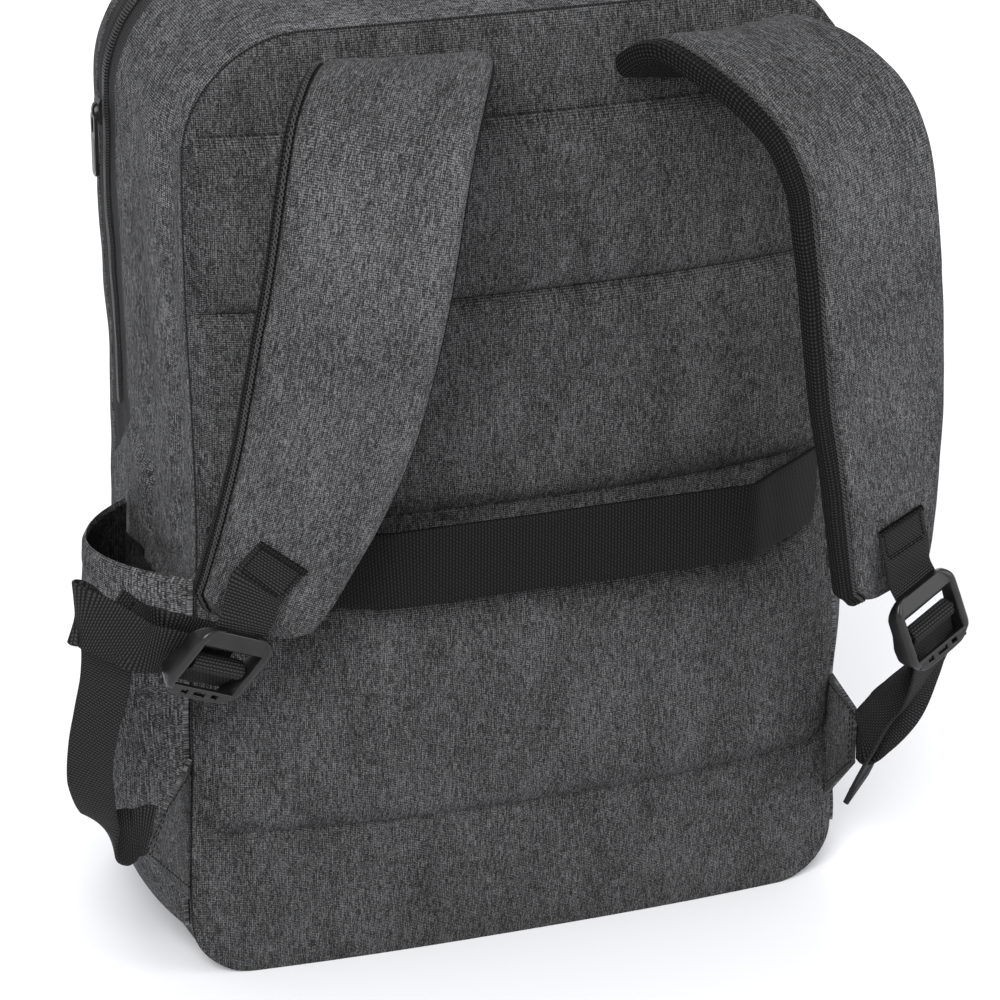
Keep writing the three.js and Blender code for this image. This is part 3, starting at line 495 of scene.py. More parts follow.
def ribbed(name, dark, light, rib=1.25, dot=1.7):
    """Webbing: cross ribs along v, broken into staggered thread dots across u."""
    shader = Shader(name)
    u, v = shader.weave()
    row = shader.math("FLOOR", shader.math("DIVIDE", v, rib))
    shift = shader.math("MULTIPLY", shader.math("FLOORED_MODULO", row, 2.0), dot / 2)
    across = shader.math("ABSOLUTE", shader.wave(shader.math("ADD", u, shift), 2 * dot))
    along = shader.math("ABSOLUTE", shader.wave(v, 2 * rib))
    height = shader.math("MULTIPLY", shader.math("MULTIPLY_ADD", across, 0.55, 0.45), along)
    fuzz = shader.noise(shader.place(u, v, 2.6, 1.2), 1.0, 3.0, 0.6)
    tone = shader.math("MULTIPLY_ADD", fuzz, 0.35, shader.math("MULTIPLY", height, 0.65))
    shade = shader.ramp(tone, [(0.18, dark * 0.4), (0.45, dark), (0.85, light)])
    shader.link(shade, shader.surface.inputs["Base Color"])
    shader.bump(shader.math("MULTIPLY_ADD", fuzz, 0.15, height), 0.34, 0.8)
    return shader.finish(0.7, 0.12)


def knitted(name, dark, light):
    """Air mesh: diagonal yarns round open diamond holes."""
    shader = Shader(name)
    u, v = shader.weave()
    rising = shader.wave(shader.math("ADD", u, v), MESH_PITCH)
    falling = shader.wave(shader.math("SUBTRACT", u, v), MESH_PITCH, 0.6)
    hole = shader.math("MULTIPLY", rising, falling)
    fuzz = shader.noise(shader.place(u, v, 2.0, 2.0), 1.0, 3.0, 0.6)
    tone = shader.math("MULTIPLY_ADD", hole, 0.35, shader.math("MULTIPLY", fuzz, 0.8))
    shade = shader.ramp(tone, [(0.15, dark * 0.3), (0.45, dark), (0.8, light)])
    shader.link(shade, shader.surface.inputs["Base Color"])
    shader.bump(shader.math("MULTIPLY_ADD", fuzz, 0.3, hole), 0.7, 0.9)
    return shader.finish(0.85, 0.12)


def moulded(name, dark, light, roughness):
    """Moulded plastic with a fine spark-eroded grain and slight wear."""
    shader = Shader(name)
    place = shader.node("ShaderNodeTexCoord").outputs["Object"]
    grain = shader.noise(place, 1500.0, 3.0, 0.6)
    wear = shader.noise(place, 90.0, 4.0, 0.6)
    shade = shader.ramp(wear, [(0.35, dark), (0.7, light)])
    shader.link(shade, shader.surface.inputs["Base Color"])
    rough = shader.node("ShaderNodeMapRange")
    rough.inputs["To Min"].default_value = roughness - 0.07
    rough.inputs["To Max"].default_value = roughness + 0.1
    shader.link(wear, rough.inputs["Value"])
    shader.link(rough.outputs[0], shader.surface.inputs["Roughness"])
    shader.bump(grain, 0.05, 0.35)
    shader.surface.inputs["Specular IOR Level"].default_value = 0.36
    return shader.material


def plain(name, grey, roughness):
    """Floor, slightly uneven so that it isn't one flat colour."""
    shader = Shader(name)
    cloud = shader.noise(shader.node("ShaderNodeTexCoord").outputs["Object"], 3.0, 2.0)
    shader.link(shader.ramp(cloud, [(0.0, grey * 0.985), (1.0, grey)]), shader.surface.inputs["Base Color"])
    return shader.finish(roughness, 0.1)


CLOTH = woven("woven_grey_cloth", 0.028, 0.19)
CLOTH_SIDE = woven("woven_side_cloth", 0.026, 0.215)
CLOTH_PALE = woven("woven_strap_cloth", 0.026, 0.17)
CLOTH_DARK = woven("woven_back_cloth", 0.02, 0.138)
TAPE = ribbed("zipper_tape_weave", 0.016, 0.04, 0.9, 0.9)
WEBBING = ribbed("webbing_ribs", 0.0045, 0.034)
SLEEVE = ribbed("webbing_wide", 0.0006, 0.0135, 1.45, 1.8)
# Painted shade: a very dark cloth for the insides of the side pockets, where shade falls
POCKET_SHADE_CLOTH = woven("pocket_painted_shade_cloth", 0.006, 0.045)
MESH = knitted("air_mesh_knit", 0.004, 0.034)
THREAD = ribbed("thread", 0.008, 0.04, 0.5, 0.5)
YARN = ribbed("edge_yarn", 0.03, 0.11, 0.6, 0.6)
PLASTIC = moulded("buckle_plastic", 0.0035, 0.009, 0.3)
TEETH = moulded("zipper_plastic", 0.006, 0.01, 0.42)


# The body's half width at shares of its height, on each side, as a share of HALF_WIDTH
WAIST = named("at left right", [
    (0.00, 1.02, 1.02), (0.07, 1.03, 1.03), (0.18, 1.025, 1.0), (0.25, 1.015, 1.005),
    (0.29, 1.015, 1.01), (0.40, 0.995, 0.97), (0.52, 0.985, 0.94), (0.62, 0.99, 0.965),
    (0.74, 1.00, 0.99), (0.88, 1.00, 1.00), (1.00, 0.985, 0.985),
])
# How much of SIDE_BULGE the sides stand out at shares of the depth
SWELL = named("at swell", [
    (0.0, 0.0), (0.12, 0.42), (0.35, 0.85), (0.6, 1.0), (1.0, 0.8),
])


def waist(z, x):
    """The body's half width at height z on the side that x is on, as a share."""
    at = np.asarray(z, float) / BODY_HEIGHT
    return np.where(np.asarray(x) > 0, table(WAIST, "right", at), table(WAIST, "left", at))


def make_stations():
    """Places round the bag from behind: x, z, outward x and z, and the run in mm, once round."""
    places = []

    def line(x0, z0, x1, z1, out_x, out_z):
        count = max(int(math.hypot(x1 - x0, z1 - z0) / STATION_STEP), 1)
        for k in range(count):
            t = k / count
            places.append((x0 + (x1 - x0) * t, z0 + (z1 - z0) * t, out_x, out_z))

    def arc(x, z, radius, start, stop):
        count = max(int(radius * math.radians(stop - start) / STATION_STEP), 3)
        for k in range(count):
            angle = math.radians(start + (stop - start) * k / count)
            out_x, out_z = math.cos(angle), math.sin(angle)
            places.append((x + radius * out_x, z + radius * out_z, out_x, out_z))

    base_x, top_x, top_z = HALF_WIDTH - CORNER_BASE, HALF_WIDTH - CORNER_TOP, BODY_HEIGHT - CORNER_TOP
    line(0, 0, base_x, 0, 0, -1)
    arc(base_x, CORNER_BASE, CORNER_BASE, -90, 0)
    line(HALF_WIDTH, CORNER_BASE, HALF_WIDTH, top_z, 1, 0)
    arc(top_x, top_z, CORNER_TOP, 0, 90)
    line(top_x, BODY_HEIGHT, -top_x, BODY_HEIGHT, 0, 1)
    arc(-top_x, top_z, CORNER_TOP, 90, 180)
    line(-HALF_WIDTH, top_z, -HALF_WIDTH, CORNER_BASE, -1, 0)
    arc(-base_x, CORNER_BASE, CORNER_BASE, 180, 270)
    line(-base_x, 0, 0, 0, 0, -1)
    places.append(places[0])
    found = np.array(places, float)
    run = np.concatenate([[0], np.cumsum(np.hypot(*np.diff(found[:, :2], axis=0).T))])
    return np.column_stack([found, run])


STATIONS = make_stations()


def side_point(stations, y, under, soft=1.0):
    """Points of the bag's side at stations and depths y, under the outer face; soft scales its folds."""
    x, z, out_x, out_z = (stations[..., k] for k in range(4))
    share = (y - BACK_Y) / BODY_DEPTH
    lift = np.where(out_z < 0, 1 + out_z, 1.0)
    out = SIDE_BULGE * table(SWELL, "swell", share) * lift + soft * side_folds(x, z, y) * lift - under
    return np.stack([x * waist(z, x) + out_x * out, y + 0 * x, z + out_z * out], -1)


# Folds of the sides: (y, z) of two ends, how deep and how wide, in mm, and the side they are on
SIDE_FOLDS = named("from to deep wide side", [
    ((6, 233), (-15, 222), -4.0, 5.0, -1),
    ((-15, 222), (-14, 198), -3.6, 5.0, -1),
    ((-14, 198), (4, 176), -3.2, 6.0, -1),
    ((-62, 402), (-60, 215), -2.4, 6.5, -1),
    ((-40, 396), (-44, 240), 1.8, 12.0, -1),
    ((-20, 380), (-27, 250), -1.6, 7.0, -1),
    ((-8, 360), (-22, 262), -1.3, 8.0, -1),
    ((-62, 236), (-28, 204), 1.6, 7.0, -1),
    ((-60, 205), (-30, 188), -1.6, 5.0, -1),
    ((-50, 300), (-30, 236), -1.4, 8.0, 1),
    ((-20, 340), (-8, 250), -1.2, 9.0, 1),
    ((-60, 215), (0, 200), -2.2, 7.0, 1),
])


def side_folds(x, z, y):
    """Height of soft folds and of the cloth's unevenness at places of the sides."""
    total = 0.5 * ripple(z, y, 60, 11) + 0.22 * ripple(z, y, 24, 12)
    for fold in SIDE_FOLDS:
        total = total + np.where(np.asarray(x) * fold["side"] > 0, crease(fold, y, z), 0)
    seam = 1 - np.exp(-np.abs(y - BACK_Y) / 10)
    return total * seam


def band_edge(z):
    """Depth of the side band's front edge at a height."""
    upper, lower = ZIPPER_Y - ZIPPER_BAND / 2, ZIPPER_Y + ZIPPER_BAND / 2
    return np.interp(z, [ZIPPER_FOOT, ZIPPER_HEAD], [lower, upper])


def make_side_band():
    rows = np.linspace(0, 1, 36)
    edge = band_edge(STATIONS[:, 1])
    sew = BACK_Y - back_arch(STATIONS[:, 0], STATIONS[:, 1]) - 0.6
    y = sew + rows[:, None] * (edge - sew - 0.2)[None]
    stations = np.broadcast_to(STATIONS, (len(rows), *STATIONS.shape))
    hem = np.exp(-(y - sew) / 2.4)
    outer = side_point(stations, y, 2.1 * hem)
    inner = side_point(stations, y, CLOTH_WALL)
    weave = np.stack([0.7 * y, stations[..., 4]], -1)
    skin("side_cloth", wall(outer, inner, weave, ((0, 0), (0, -1))), CLOTH_SIDE, ["side_band"])
    # Painted shade: a thin dark cord along the seam of side and back darkens the fold there
    line = side_point(STATIONS, sew + 1.3, 0.35)
    skin("side_seam_shade_cord", [tube_grid(line, 0.9, 9)], WEBBING)


def front_corner(stations):
    """Where the rounding of the front ends at stations: x and z of the face's outline."""
    side = HALF_WIDTH * waist(stations[..., 1], stations[..., 0]) - FRONT_ROUND
    x = np.clip(stations[..., 0], -side, side)
    z = np.clip(stations[..., 1], 0.0, BODY_HEIGHT - FRONT_ROUND)
    return x, z


def front_rings(under):
    """Rings of the front compartment's side and rounding, from the zipper to its face."""
    start = ZIPPER_Y + ZIPPER_BAND / 2 + 0.3
    straight = FRONT_Y - FRONT_ROUND * 0.55
    rings = []
    for y in np.linspace(start, straight, STRAIGHT_RINGS + 1)[:-1]:
        rings.append(side_point(STATIONS, np.full(len(STATIONS), y), under))
    for angle in np.linspace(0, math.pi / 2, ROUND_RINGS):
        y = np.full(len(STATIONS), straight + (FRONT_Y - under - straight) * math.sin(angle))
        point = side_point(STATIONS, y, under)
        point[:, 2] = np.maximum(point[:, 2], under)
        x, z = front_corner(STATIONS)
        target = np.stack([x, y, np.maximum(z, under)], -1)
        rings.append(point + (target - point) * (1 - math.cos(angle)))
    face = rings[-1]
    centre = np.array([0, 0, BODY_HEIGHT / 2])
    for share in (0.96, 0.9, 0.8, 0.7, 0.6, 0.5, 0.4, 0.3, 0.2, 0.1, 0.0):
        moved = centre + (face - centre) * share
        moved[:, 1] = face[:, 1] + FRONT_CROWN * (1 - share * share)
        moved[:, 1] += 0.9 * ripple(moved[:, 0], moved[:, 2], 90, 21) * smooth(1.0, 0.7, share)
        rings.append(moved)
    return np.array(rings)


def make_front():
    outer, inner = front_rings(0.0), front_rings(CLOTH_WALL)
    turned = np.linalg.norm(np.diff(outer, axis=0), axis=-1)
    run = np.concatenate([np.zeros((1, outer.shape[1])), np.cumsum(turned, 0)])
    edge = STRAIGHT_RINGS + ROUND_RINGS  # the first ring on the face
    weave = np.stack([run, np.broadcast_to(STATIONS[:, 4], run.shape)], -1)
    weave[edge:, :, 0] = outer[edge:, :, 0]
    weave[edge:, :, 1] = outer[edge:, :, 2]
    weave_side, weave_face = weave[: edge + 1].copy(), weave[edge:]
    weave_side[edge, :, 0] = run[edge]
    weave_side[edge, :, 1] = STATIONS[:, 4]
    inside = wall(outer, inner, weave, [(0, 0)])[1:]
    grids = [(outer[: edge + 1], weave_side), (outer[edge:], weave_face), *inside]
    skin("front_cloth", grids, CLOTH, ["front_compartment"])
    skin("front_piping", [tube_grid(outer[edge] + np.array([0, 0.4, 0]), 1.3, 9)], CLOTH_DARK)


def tube_grid(line, radius, count=7):
    """Grid of a round tube along a line of points, which may come back to its start."""
    tangent = unit(np.gradient(line, axis=0))
    if np.linalg.norm(line[0] - line[-1]) < 1:
        tangent[0] = tangent[-1] = unit(line[1] - line[-2])
    helper = unit(np.cross(tangent, np.array(RING_HELPER)))
    other = np.cross(tangent, helper)
    angles = np.linspace(0, math.tau, count)[None, :, None]
    ring = helper[:, None] * np.cos(angles) + other[:, None] * np.sin(angles)
    weave = np.stack(np.broadcast_arrays(angles[..., 0] * radius, run_along(line)[:, None]), -1)
    return line[:, None] + ring * radius, weave


def zipper_run():
    """Stations of the zipper over the top, from its right foot to its left foot."""
    run = STATIONS[:, 4]
    upper = STATIONS[:, 1] > ZIPPER_HEAD
    start, stop = run[upper].min(), run[upper].max()
    marks = np.linspace(start, stop, TEETH_COUNT + 1)
    return np.stack([np.interp(marks, run, STATIONS[:, k]) for k in range(5)], -1)


def tape_grid(low_y, high_y, height, stations, rows=5):
    t = np.linspace(0, 1, rows)[:, None]
    edge = np.maximum(low_y, band_edge(stations[:, 1]) + 0.3)[None]
    y = edge + t * (high_y - edge)
    wide = np.broadcast_to(stations, (rows, *stations.shape))
    return side_point(wide, y, -height), np.stack([y, wide[..., 4]], -1)


def make_zipper():
    upper = STATIONS[STATIONS[:, 1] > ZIPPER_FOOT + 3]
    low, high = ZIPPER_Y - ZIPPER_BAND / 2 + 0.3, ZIPPER_Y + ZIPPER_BAND / 2 - 0.3
    outer, weave = tape_grid(low, high, 0.0, upper, 18)
    y = outer[..., 1]
    groove = 0.8 * np.exp(-(((y - ZIPPER_Y) / 5.0) ** 2))
    fold = sum(0.7 * np.exp(-(((y - ZIPPER_Y + away) / 1.6) ** 2)) for away in (9.0, -9.0))
    wide = np.broadcast_to(upper, (18, *upper.shape))
    outer = side_point(wide, y, 0.4 + groove - fold)
    inner = side_point(wide, y, 1.6 + groove)
    skin("zipper_tape", wall(outer, inner, weave), TAPE, ["zipper_band"])
    make_teeth()


def make_teeth():
    """The zipper's coil: small rounded rungs across the middle of the tape."""
    run = zipper_run()
    points, faces = [], []
    half, rise = 2.9, 1.5
    for low, high in zip(run[:-1], run[1:]):
        pair = np.stack([low, low + (high - low) * TOOTH_SHARE])
        ring = []
        for side, height in ((-half, 0.2), (-half * 0.8, rise), (half * 0.8, rise), (half, 0.2)):
            ring.append(side_point(pair, np.full(2, ZIPPER_Y + side), -height + 0.4))
        base = len(points)
        for a, b in ring:
            points.extend([a, b])
        for k in range(3):
            faces.append((base + 2 * k, base + 2 * k + 1, base + 2 * k + 3, base + 2 * k + 2))
        faces.append((base, base + 2, base + 4, base + 6))
        faces.append((base + 1, base + 3, base + 5, base + 7)[::-1])
        faces.append((base, base + 1, base + 7, base + 6)[::-1])
    make_object("zipper_teeth", new_mesh("zipper_teeth", points, faces), TEETH, ["zipper_coil"])


def rounded_outline(length, width, radius, count, start):
    """Points once round a rectangle from x = start, with rounded corners."""
    half = width / 2
    radius = min(radius, half, length / 2)
    corners = (
        (start + length - radius, -half + radius, -90),
        (start + length - radius, half - radius, 0),
        (start + radius, half - radius, 90),
        (start + radius, -half + radius, 180),
    )
    ring = []
    for x, y, angle in corners:
        for k in range(count):
            turn = math.radians(angle + 90 * k / (count - 1))
            ring.append((x + radius * math.cos(turn), y + radius * math.sin(turn)))
    return ring


def plate_parts(outline, hole, low, high):
    """Points and faces of a plate between two heights, with one hole of as many points."""
    count = len(outline)
    points = [(x, y, z) for z in (low, high) for x, y in outline]
    faces = []
    if hole is None:
        faces += [tuple(range(count))[::-1], tuple(range(count, 2 * count))]
    else:
        points += [(x, y, z) for z in (low, high) for x, y in hole]
    for k in range(count):
        n = (k + 1) % count
        faces.append((k, n, count + n, count + k))
        if hole is not None:
            faces.append((2 * count + k, 3 * count + k, 3 * count + n, 2 * count + n))
            faces.append((k, 2 * count + k, 2 * count + n, n))
            faces.append((count + k, count + n, 3 * count + n, 3 * count + k))
    return points, faces


def profile_parts(profile, low, high):
    """Points and faces of a profile in x and z, drawn out in y from low to high."""
    count = len(profile)
    points = [(x, y, z) for y in (low, high) for x, z in profile]
    faces = [tuple(range(count)), tuple(range(count, 2 * count))[::-1]]
    for k in range(count):
        n = (k + 1) % count
        faces.append((k, count + k, count + n, n))
    return points, faces


def hard_piece(name, parts, matrix, material, nodes, bevel, segments):
    """One mesh from several closed parts, placed by a matrix in mm, with bevelled edges."""
    points, faces = [], []
    for part_points, part_faces in parts:
        base = len(points)
        points += [matrix @ Vector(p) for p in part_points]
        faces += [tuple(base + k for k in face) for face in part_faces]
    mesh = bpy.data.meshes.new(name)
    mesh.from_pydata([tuple(p * MM) for p in points], [], faces)
    turn_outwards(mesh)
    piece = make_object(name, mesh, material, nodes)
    rounding = piece.modifiers.new("edges", "BEVEL")
    rounding.width = bevel * MM
    rounding.segments = segments
    rounding.limit_method = "ANGLE"
    rounding.angle_limit = math.radians(35)
    rounding.harden_normals = True
    return piece


def make_slider(side, rightward):
    """Slider on the teeth with its bridge and a hanging pull."""
    height = BODY_HEIGHT - CORNER_TOP - 12
    station = np.array([[rightward * HALF_WIDTH, height, rightward, 0, 0]])
    seat = side_point(station, np.array([ZIPPER_Y]), 0.0)[0]
    basis = Matrix(((0, 0, rightward), (0, rightward, 0), (-1, 0, 0))).to_4x4()
    basis.translation = Vector(seat)
    body = profile_parts([(-5.5, 2.5), (5.5, 2.5), (6, 3.2), (5, 4.2), (-4, 4.2), (-6, 3.2)], -4.3, 4.3)
    arch = [(-4, 4), (-3, 5.6), (-1, 6.3), (3, 6.3), (4.5, 5), (4.2, 4), (3.4, 5), (-1, 5.3), (-2.6, 4)]
    bridge = profile_parts(arch, -1.1, 1.1)
    pull = plate_parts(rounded_outline(29, 7.0, 2.4, 6, 1.0), rounded_outline(7, 3.4, 1.5, 6, 3.0), 4.6, 6.2)
    grip = plate_parts(rounded_outline(15, 5.0, 2.0, 6, 13.0), None, 6.0, 6.35)
    hard_piece(f"slider_{side}", [body, bridge, pull, grip], basis, PLASTIC,
               [f"zipper_slider_{side}"], 0.35, 2)


def back_arch(x, z):
    """How far the crowned back stands out at places x and z."""
    share_x = x / (HALF_WIDTH * waist(z, x))
    across = np.maximum(1 - np.abs(share_x) ** 2.4, 0)
    along = np.maximum(1 - np.abs(2 * z / BODY_HEIGHT - 1) ** 4, 0)
    return BACK_CROWN * across * (0.35 + 0.65 * along)


def back_half(z, x):
    """Half width of the back panel at a height, with the bag's corners taken off."""
    low = np.maximum(CORNER_BASE - z, 0)
    high = np.maximum(z - (BODY_HEIGHT - CORNER_TOP), 0)
    inset = CORNER_BASE - np.sqrt(np.maximum(CORNER_BASE**2 - low**2, 0))
    inset = inset + CORNER_TOP - np.sqrt(np.maximum(CORNER_TOP**2 - high**2, 0))
    return (HALF_WIDTH - inset) * waist(z, x)


# Creases beside the right seam: (x, z) of two ends, how deep and how wide, in mm
BACK_FOLDS = named("from to deep wide", [
    ((147, 214), (138, 116), 3.2, 4.5),
    ((134, 196), (127, 118), 1.3, 6.0),
    ((143, 250), (146, 212), 1.6, 5.0),
    ((-141, 210), (-138, 150), 1.2, 5.0),
])


def back_grid(levels, columns, inset=0.0):
    """Points x and z of the back between its side seams at the given heights."""
    across = np.linspace(-1, 1, columns)
    across = np.sign(across) * np.abs(across) ** 0.85
    z = np.broadcast_to(levels[:, None], (len(levels), columns))
    side = np.broadcast_to(across[None], z.shape)
    return side * (back_half(z, side) - inset), z, side


def make_back_panel():
    levels = BODY_HEIGHT * (0.5 - 0.5 * np.cos(np.linspace(0.02, math.pi - 0.02, 150)))
    x, z, _ = back_grid(levels, 90)
    dents = 0.5 * ripple(x, z, 60, 31) + 0.25 * ripple(x, z, 22, 32)
    edge = np.minimum(back_half(z, x) - np.abs(x), np.minimum(z, BODY_HEIGHT - z))
    y = BACK_Y - back_arch(x, z) - 0.3
    soft = 1 - np.exp(-edge / 6)
    outer = np.stack([x, y - BACK_WALL * (0.35 + 0.65 * soft) + dents * soft, z], -1)
    inner = np.stack([x, y, z], -1)
    weave = np.stack([x, z], -1)
    skin("back_cloth", wall(outer, inner, weave), CLOTH_DARK, ["back_panel"])


def make_back_pad(name, foot, head, round_foot, round_head, seed):
    """One stuffed panel of the back, drawn in tightly at its seams."""
    levels = foot + (head - foot) * (0.5 - 0.5 * np.cos(np.linspace(0, math.pi, 64)))
    x, z, side = back_grid(levels, 120, PAD_INSET)
    near_foot = np.maximum(PAD_CORNER - (z - foot), 0) * round_foot
    near = np.maximum(near_foot, np.maximum(PAD_CORNER - (head - z), 0) * round_head)
    corner = PAD_CORNER - np.sqrt(np.maximum(PAD_CORNER**2 - near**2, 0))
    half = back_half(z, side) - PAD_INSET - corner
    x = side * half
    from_edge = half - np.abs(x)
    to_seam = np.minimum(z - foot, head - z)
    swell = (1 - np.exp(-to_seam / PAD_ROLL)) * (1 - np.exp(-from_edge / (PAD_ROLL * 1.2)))
    pucker = 0.5 * ripple(x, z * 0.15, 9, seed) * np.exp(-to_seam / 5) * (1 - np.exp(-to_seam / 1.2))
    dents = 0.8 * ripple(x, z, 70, seed + 1) + 0.3 * ripple(x, z, 26, seed + 2)
    thick = PAD_EDGE + (PAD_SWELL - 0.6 - PAD_EDGE) * swell + (dents + pucker) * swell
    thick = np.maximum(thick - sum(crease(fold, x, z) for fold in BACK_FOLDS), PAD_THINNEST)
    y = BACK_Y - back_arch(x, z) - PAD_SEAT
    outer = np.stack([x, y - thick, z], -1)
    inner = np.stack([x, y, z], -1)
    weave = np.stack([x, z], -1)
    piece = skin(name + "_cloth", wall(outer, inner, weave), CLOTH_DARK, [name])
    lines = []
    for edge_row, away in ((0, 1), (-1, -1)):
        row = outer[edge_row].copy()
        row[:, 1] -= 0.2
        row[:, 2] += away * 1.0
        lines.append((row, np.tile([0.0, -1.0, 0.0], (len(row), 1))))
    return lines


# Middle lines of the shoulder pads, as row_point reads them, with the direction across and a share
# of the width
LEFT_PAD = named("x out z ax ay az size", [
    (-0.40, 0.2, 0.945, 1, 0, 0, 0.92),
    (-0.45, 0.44, 0.985, 1, -0.1, 0, 0.95),
    (-0.53, 0.68, 0.985, 1, -0.2, 0, 0.98),
    (-0.61, 0.88, 0.957, 1, -0.3, 0, 1.0),
    (-0.65, 0.95, 0.915, 1, -0.32, 0, 1.0),
    (-0.675, 0.97, 0.87, 1, -0.32, 0, 1.0),
    (-0.70, 0.97, 0.818, 1, -0.32, 0, 1.0),
    (-0.73, 0.94, 0.757, 1, -0.32, 0, 1.0),
    (-0.76, 0.88, 0.69, 1, -0.32, 0, 0.98),
    (-0.785, 0.81, 0.639, 1, -0.32, -0.05, 0.94),
    (-0.821, 0.74, 0.587, 1, -0.3, -0.1, 0.89),
    (-0.855, 0.68, 0.545, 1, -0.26, -0.16, 0.84),
    (-0.895, 0.625, 0.502, 1, -0.22, -0.22, 0.79),
    (-0.93, 0.59, 0.475, 1, -0.18, -0.26, 0.74),
    (-0.95, 0.575, 0.46, 1, -0.15, -0.28, 0.54),
])
RIGHT_PAD = named("x out z ax ay az size", [
    (0.41, 0.215, 0.946, 1, 0, 0, 0.92),
    (0.47, 0.44, 0.982, 1, 0.1, 0, 0.95),
    (0.57, 0.68, 0.975, 1, 0.2, 0, 0.98),
    (0.68, 0.86, 0.94, 1, 0.3, 0, 1.0),
    (0.745, 0.94, 0.892, 1, 0.32, 0, 1.0),
    (0.775, 0.97, 0.83, 1, 0.32, 0, 1.0),
    (0.80, 0.97, 0.76, 1, 0.32, 0, 0.98),
    (0.835, 0.93, 0.69, 1, 0.32, 0, 0.95),
    (0.87, 0.87, 0.635, 1, 0.32, 0, 0.91),
    (0.903, 0.81, 0.578, 1, 0.32, 0.05, 0.86),
    (0.945, 0.72, 0.505, 1, 0.32, 0.1, 0.8),
    (0.97, 0.655, 0.455, 1, 0.32, 0.16, 0.75),
    (0.985, 0.61, 0.42, 1, 0.32, 0.22, 0.7),
    (0.99, 0.59, 0.40, 1, 0.32, 0.26, 0.52),
])


def crowned_ring(width, low, high, edge):
    """A pad's half section: flat at one rise, rounded over to the other at its edges."""
    side = np.sin(np.linspace(-math.pi / 2, math.pi / 2, 30)) * width / 2
    inward = np.clip(width / 2 - np.abs(side), 0, edge) / edge
    over = low + (high - low) * np.sqrt(1 - (1 - inward) ** 2)
    ring = [(s, r) for s, r in zip(side, over)]
    ring += [(s, low) for s in side[::-1][1:-1]]
    return ring


def rolled_ring(width, low, rim, roll):
    """Section of a pad's mesh face, whose rim rolls up over the left edge beside the cloth."""
    half = width / 2
    ring = [(-half + roll + 1.5, 0.0), (-half + roll + 0.3, rim * 0.75)]
    if roll > 6:
        ring += [(-half + side, rim + 0.1) for side in np.linspace(roll - 0.6, 3.4, 5)]
    for angle in np.radians(np.linspace(60, 180, 7)):
        ring.append((-half + 2.6 + 2.6 * math.cos(angle), rim - 2.6 + 2.6 * math.sin(angle)))
    for angle in np.radians(np.linspace(190, 270, 6)):
        ring.append((-half + 4.0 + 4.0 * math.cos(angle), low + 4.0 + 4.0 * math.sin(angle)))
    ring += [(side, low) for side in np.linspace(-half + 9, half - 7, 12)]
    for angle in np.radians(np.linspace(-90, 0, 6)):
        ring.append((half - 4.0 + 4.0 * math.cos(angle), low + 4.0 + 4.0 * math.sin(angle)))
    ring.append((half - 0.2, 0.0))
    return ring + [(side, 0.0) for side in np.linspace(half - 6, -half + roll + 4, 8)]


def make_shoulder(side, rows, seed):
    route = Route(rows, np.linspace(0, 1, 150))
    roll = MESH_ROLL[side]

    def dents(ring, index, depth):
        made = np.array(ring)
        bulge = ripple(made[:, 0], route.run[index], 55, seed) * depth
        fine = ripple(made[:, 0], route.run[index], 18, seed + 5) * depth * 0.35
        free = np.clip(np.abs(made[:, 1]) / 3, 0, 1)
        made[:, 1] += (bulge + fine) * free
        return made

    def end_round(index):
        """Rounds the free lower end in and thins it."""
        from_end = min(route.run[-1] - route.run[index], 6) / 6
        return 0.55 + 0.45 * math.sqrt(max(1 - (1 - from_end) ** 2, 0))

    def fabric(index):
        width = SHOULDER_WIDTH * route.size[index]
        high = 0.25 + (SHOULDER_FABRIC + 0.5) * end_round(index)
        ring = np.array(crowned_ring(width - roll - 0.6, 0.2, high, 7.0))
        ring[:, 0] += (roll - 0.6) / 2
        return dents(ring, index, 0.45)

    def mesh(index):
        width = SHOULDER_WIDTH * route.size[index]
        ring = rolled_ring(width, -SHOULDER_MESH * end_round(index), 3.1 * end_round(index), roll)
        return dents(ring, index, 0.3)

    top = sweep(f"shoulder_cloth_{side}", route, fabric, CLOTH_PALE, [f"shoulder_pad_{side}"])
    under = sweep(f"shoulder_air_mesh_{side}", route, mesh, MESH, [f"shoulder_mesh_{side}"])
    make_edging(side, route)


def make_edging(side, route):
    """The overlocked braid along a shoulder pad's left edge: two yarns that cross each other."""
    index = np.arange(4, len(route.shares) - 2)
    fine = np.linspace(0, len(index) - 1, 900)

    def pick(values):
        return np.stack([np.interp(fine, np.arange(len(index)), values[index, c]) for c in range(3)], 1)

    run = np.interp(fine, np.arange(len(index)), route.run[index])
    width = np.interp(fine, np.arange(len(index)), route.size[index]) * SHOULDER_WIDTH
    across, face, point = pick(route.across), pick(route.face), pick(route.point)
    grids = []
    for yarn in (0, math.pi):
        turn = run / 4.8 * math.tau + yarn
        away = -width / 2 + MESH_ROLL[side] - 1.3 + 0.62 * np.sin(turn)
        rise = 3.35 + 0.32 * np.cos(turn)
        place = point + across * away[:, None] + face * rise[:, None]
        grids.append(tube_grid(place, 0.42))
    skin(f"shoulder_edging_{side}", grids, YARN, weld=0.001)


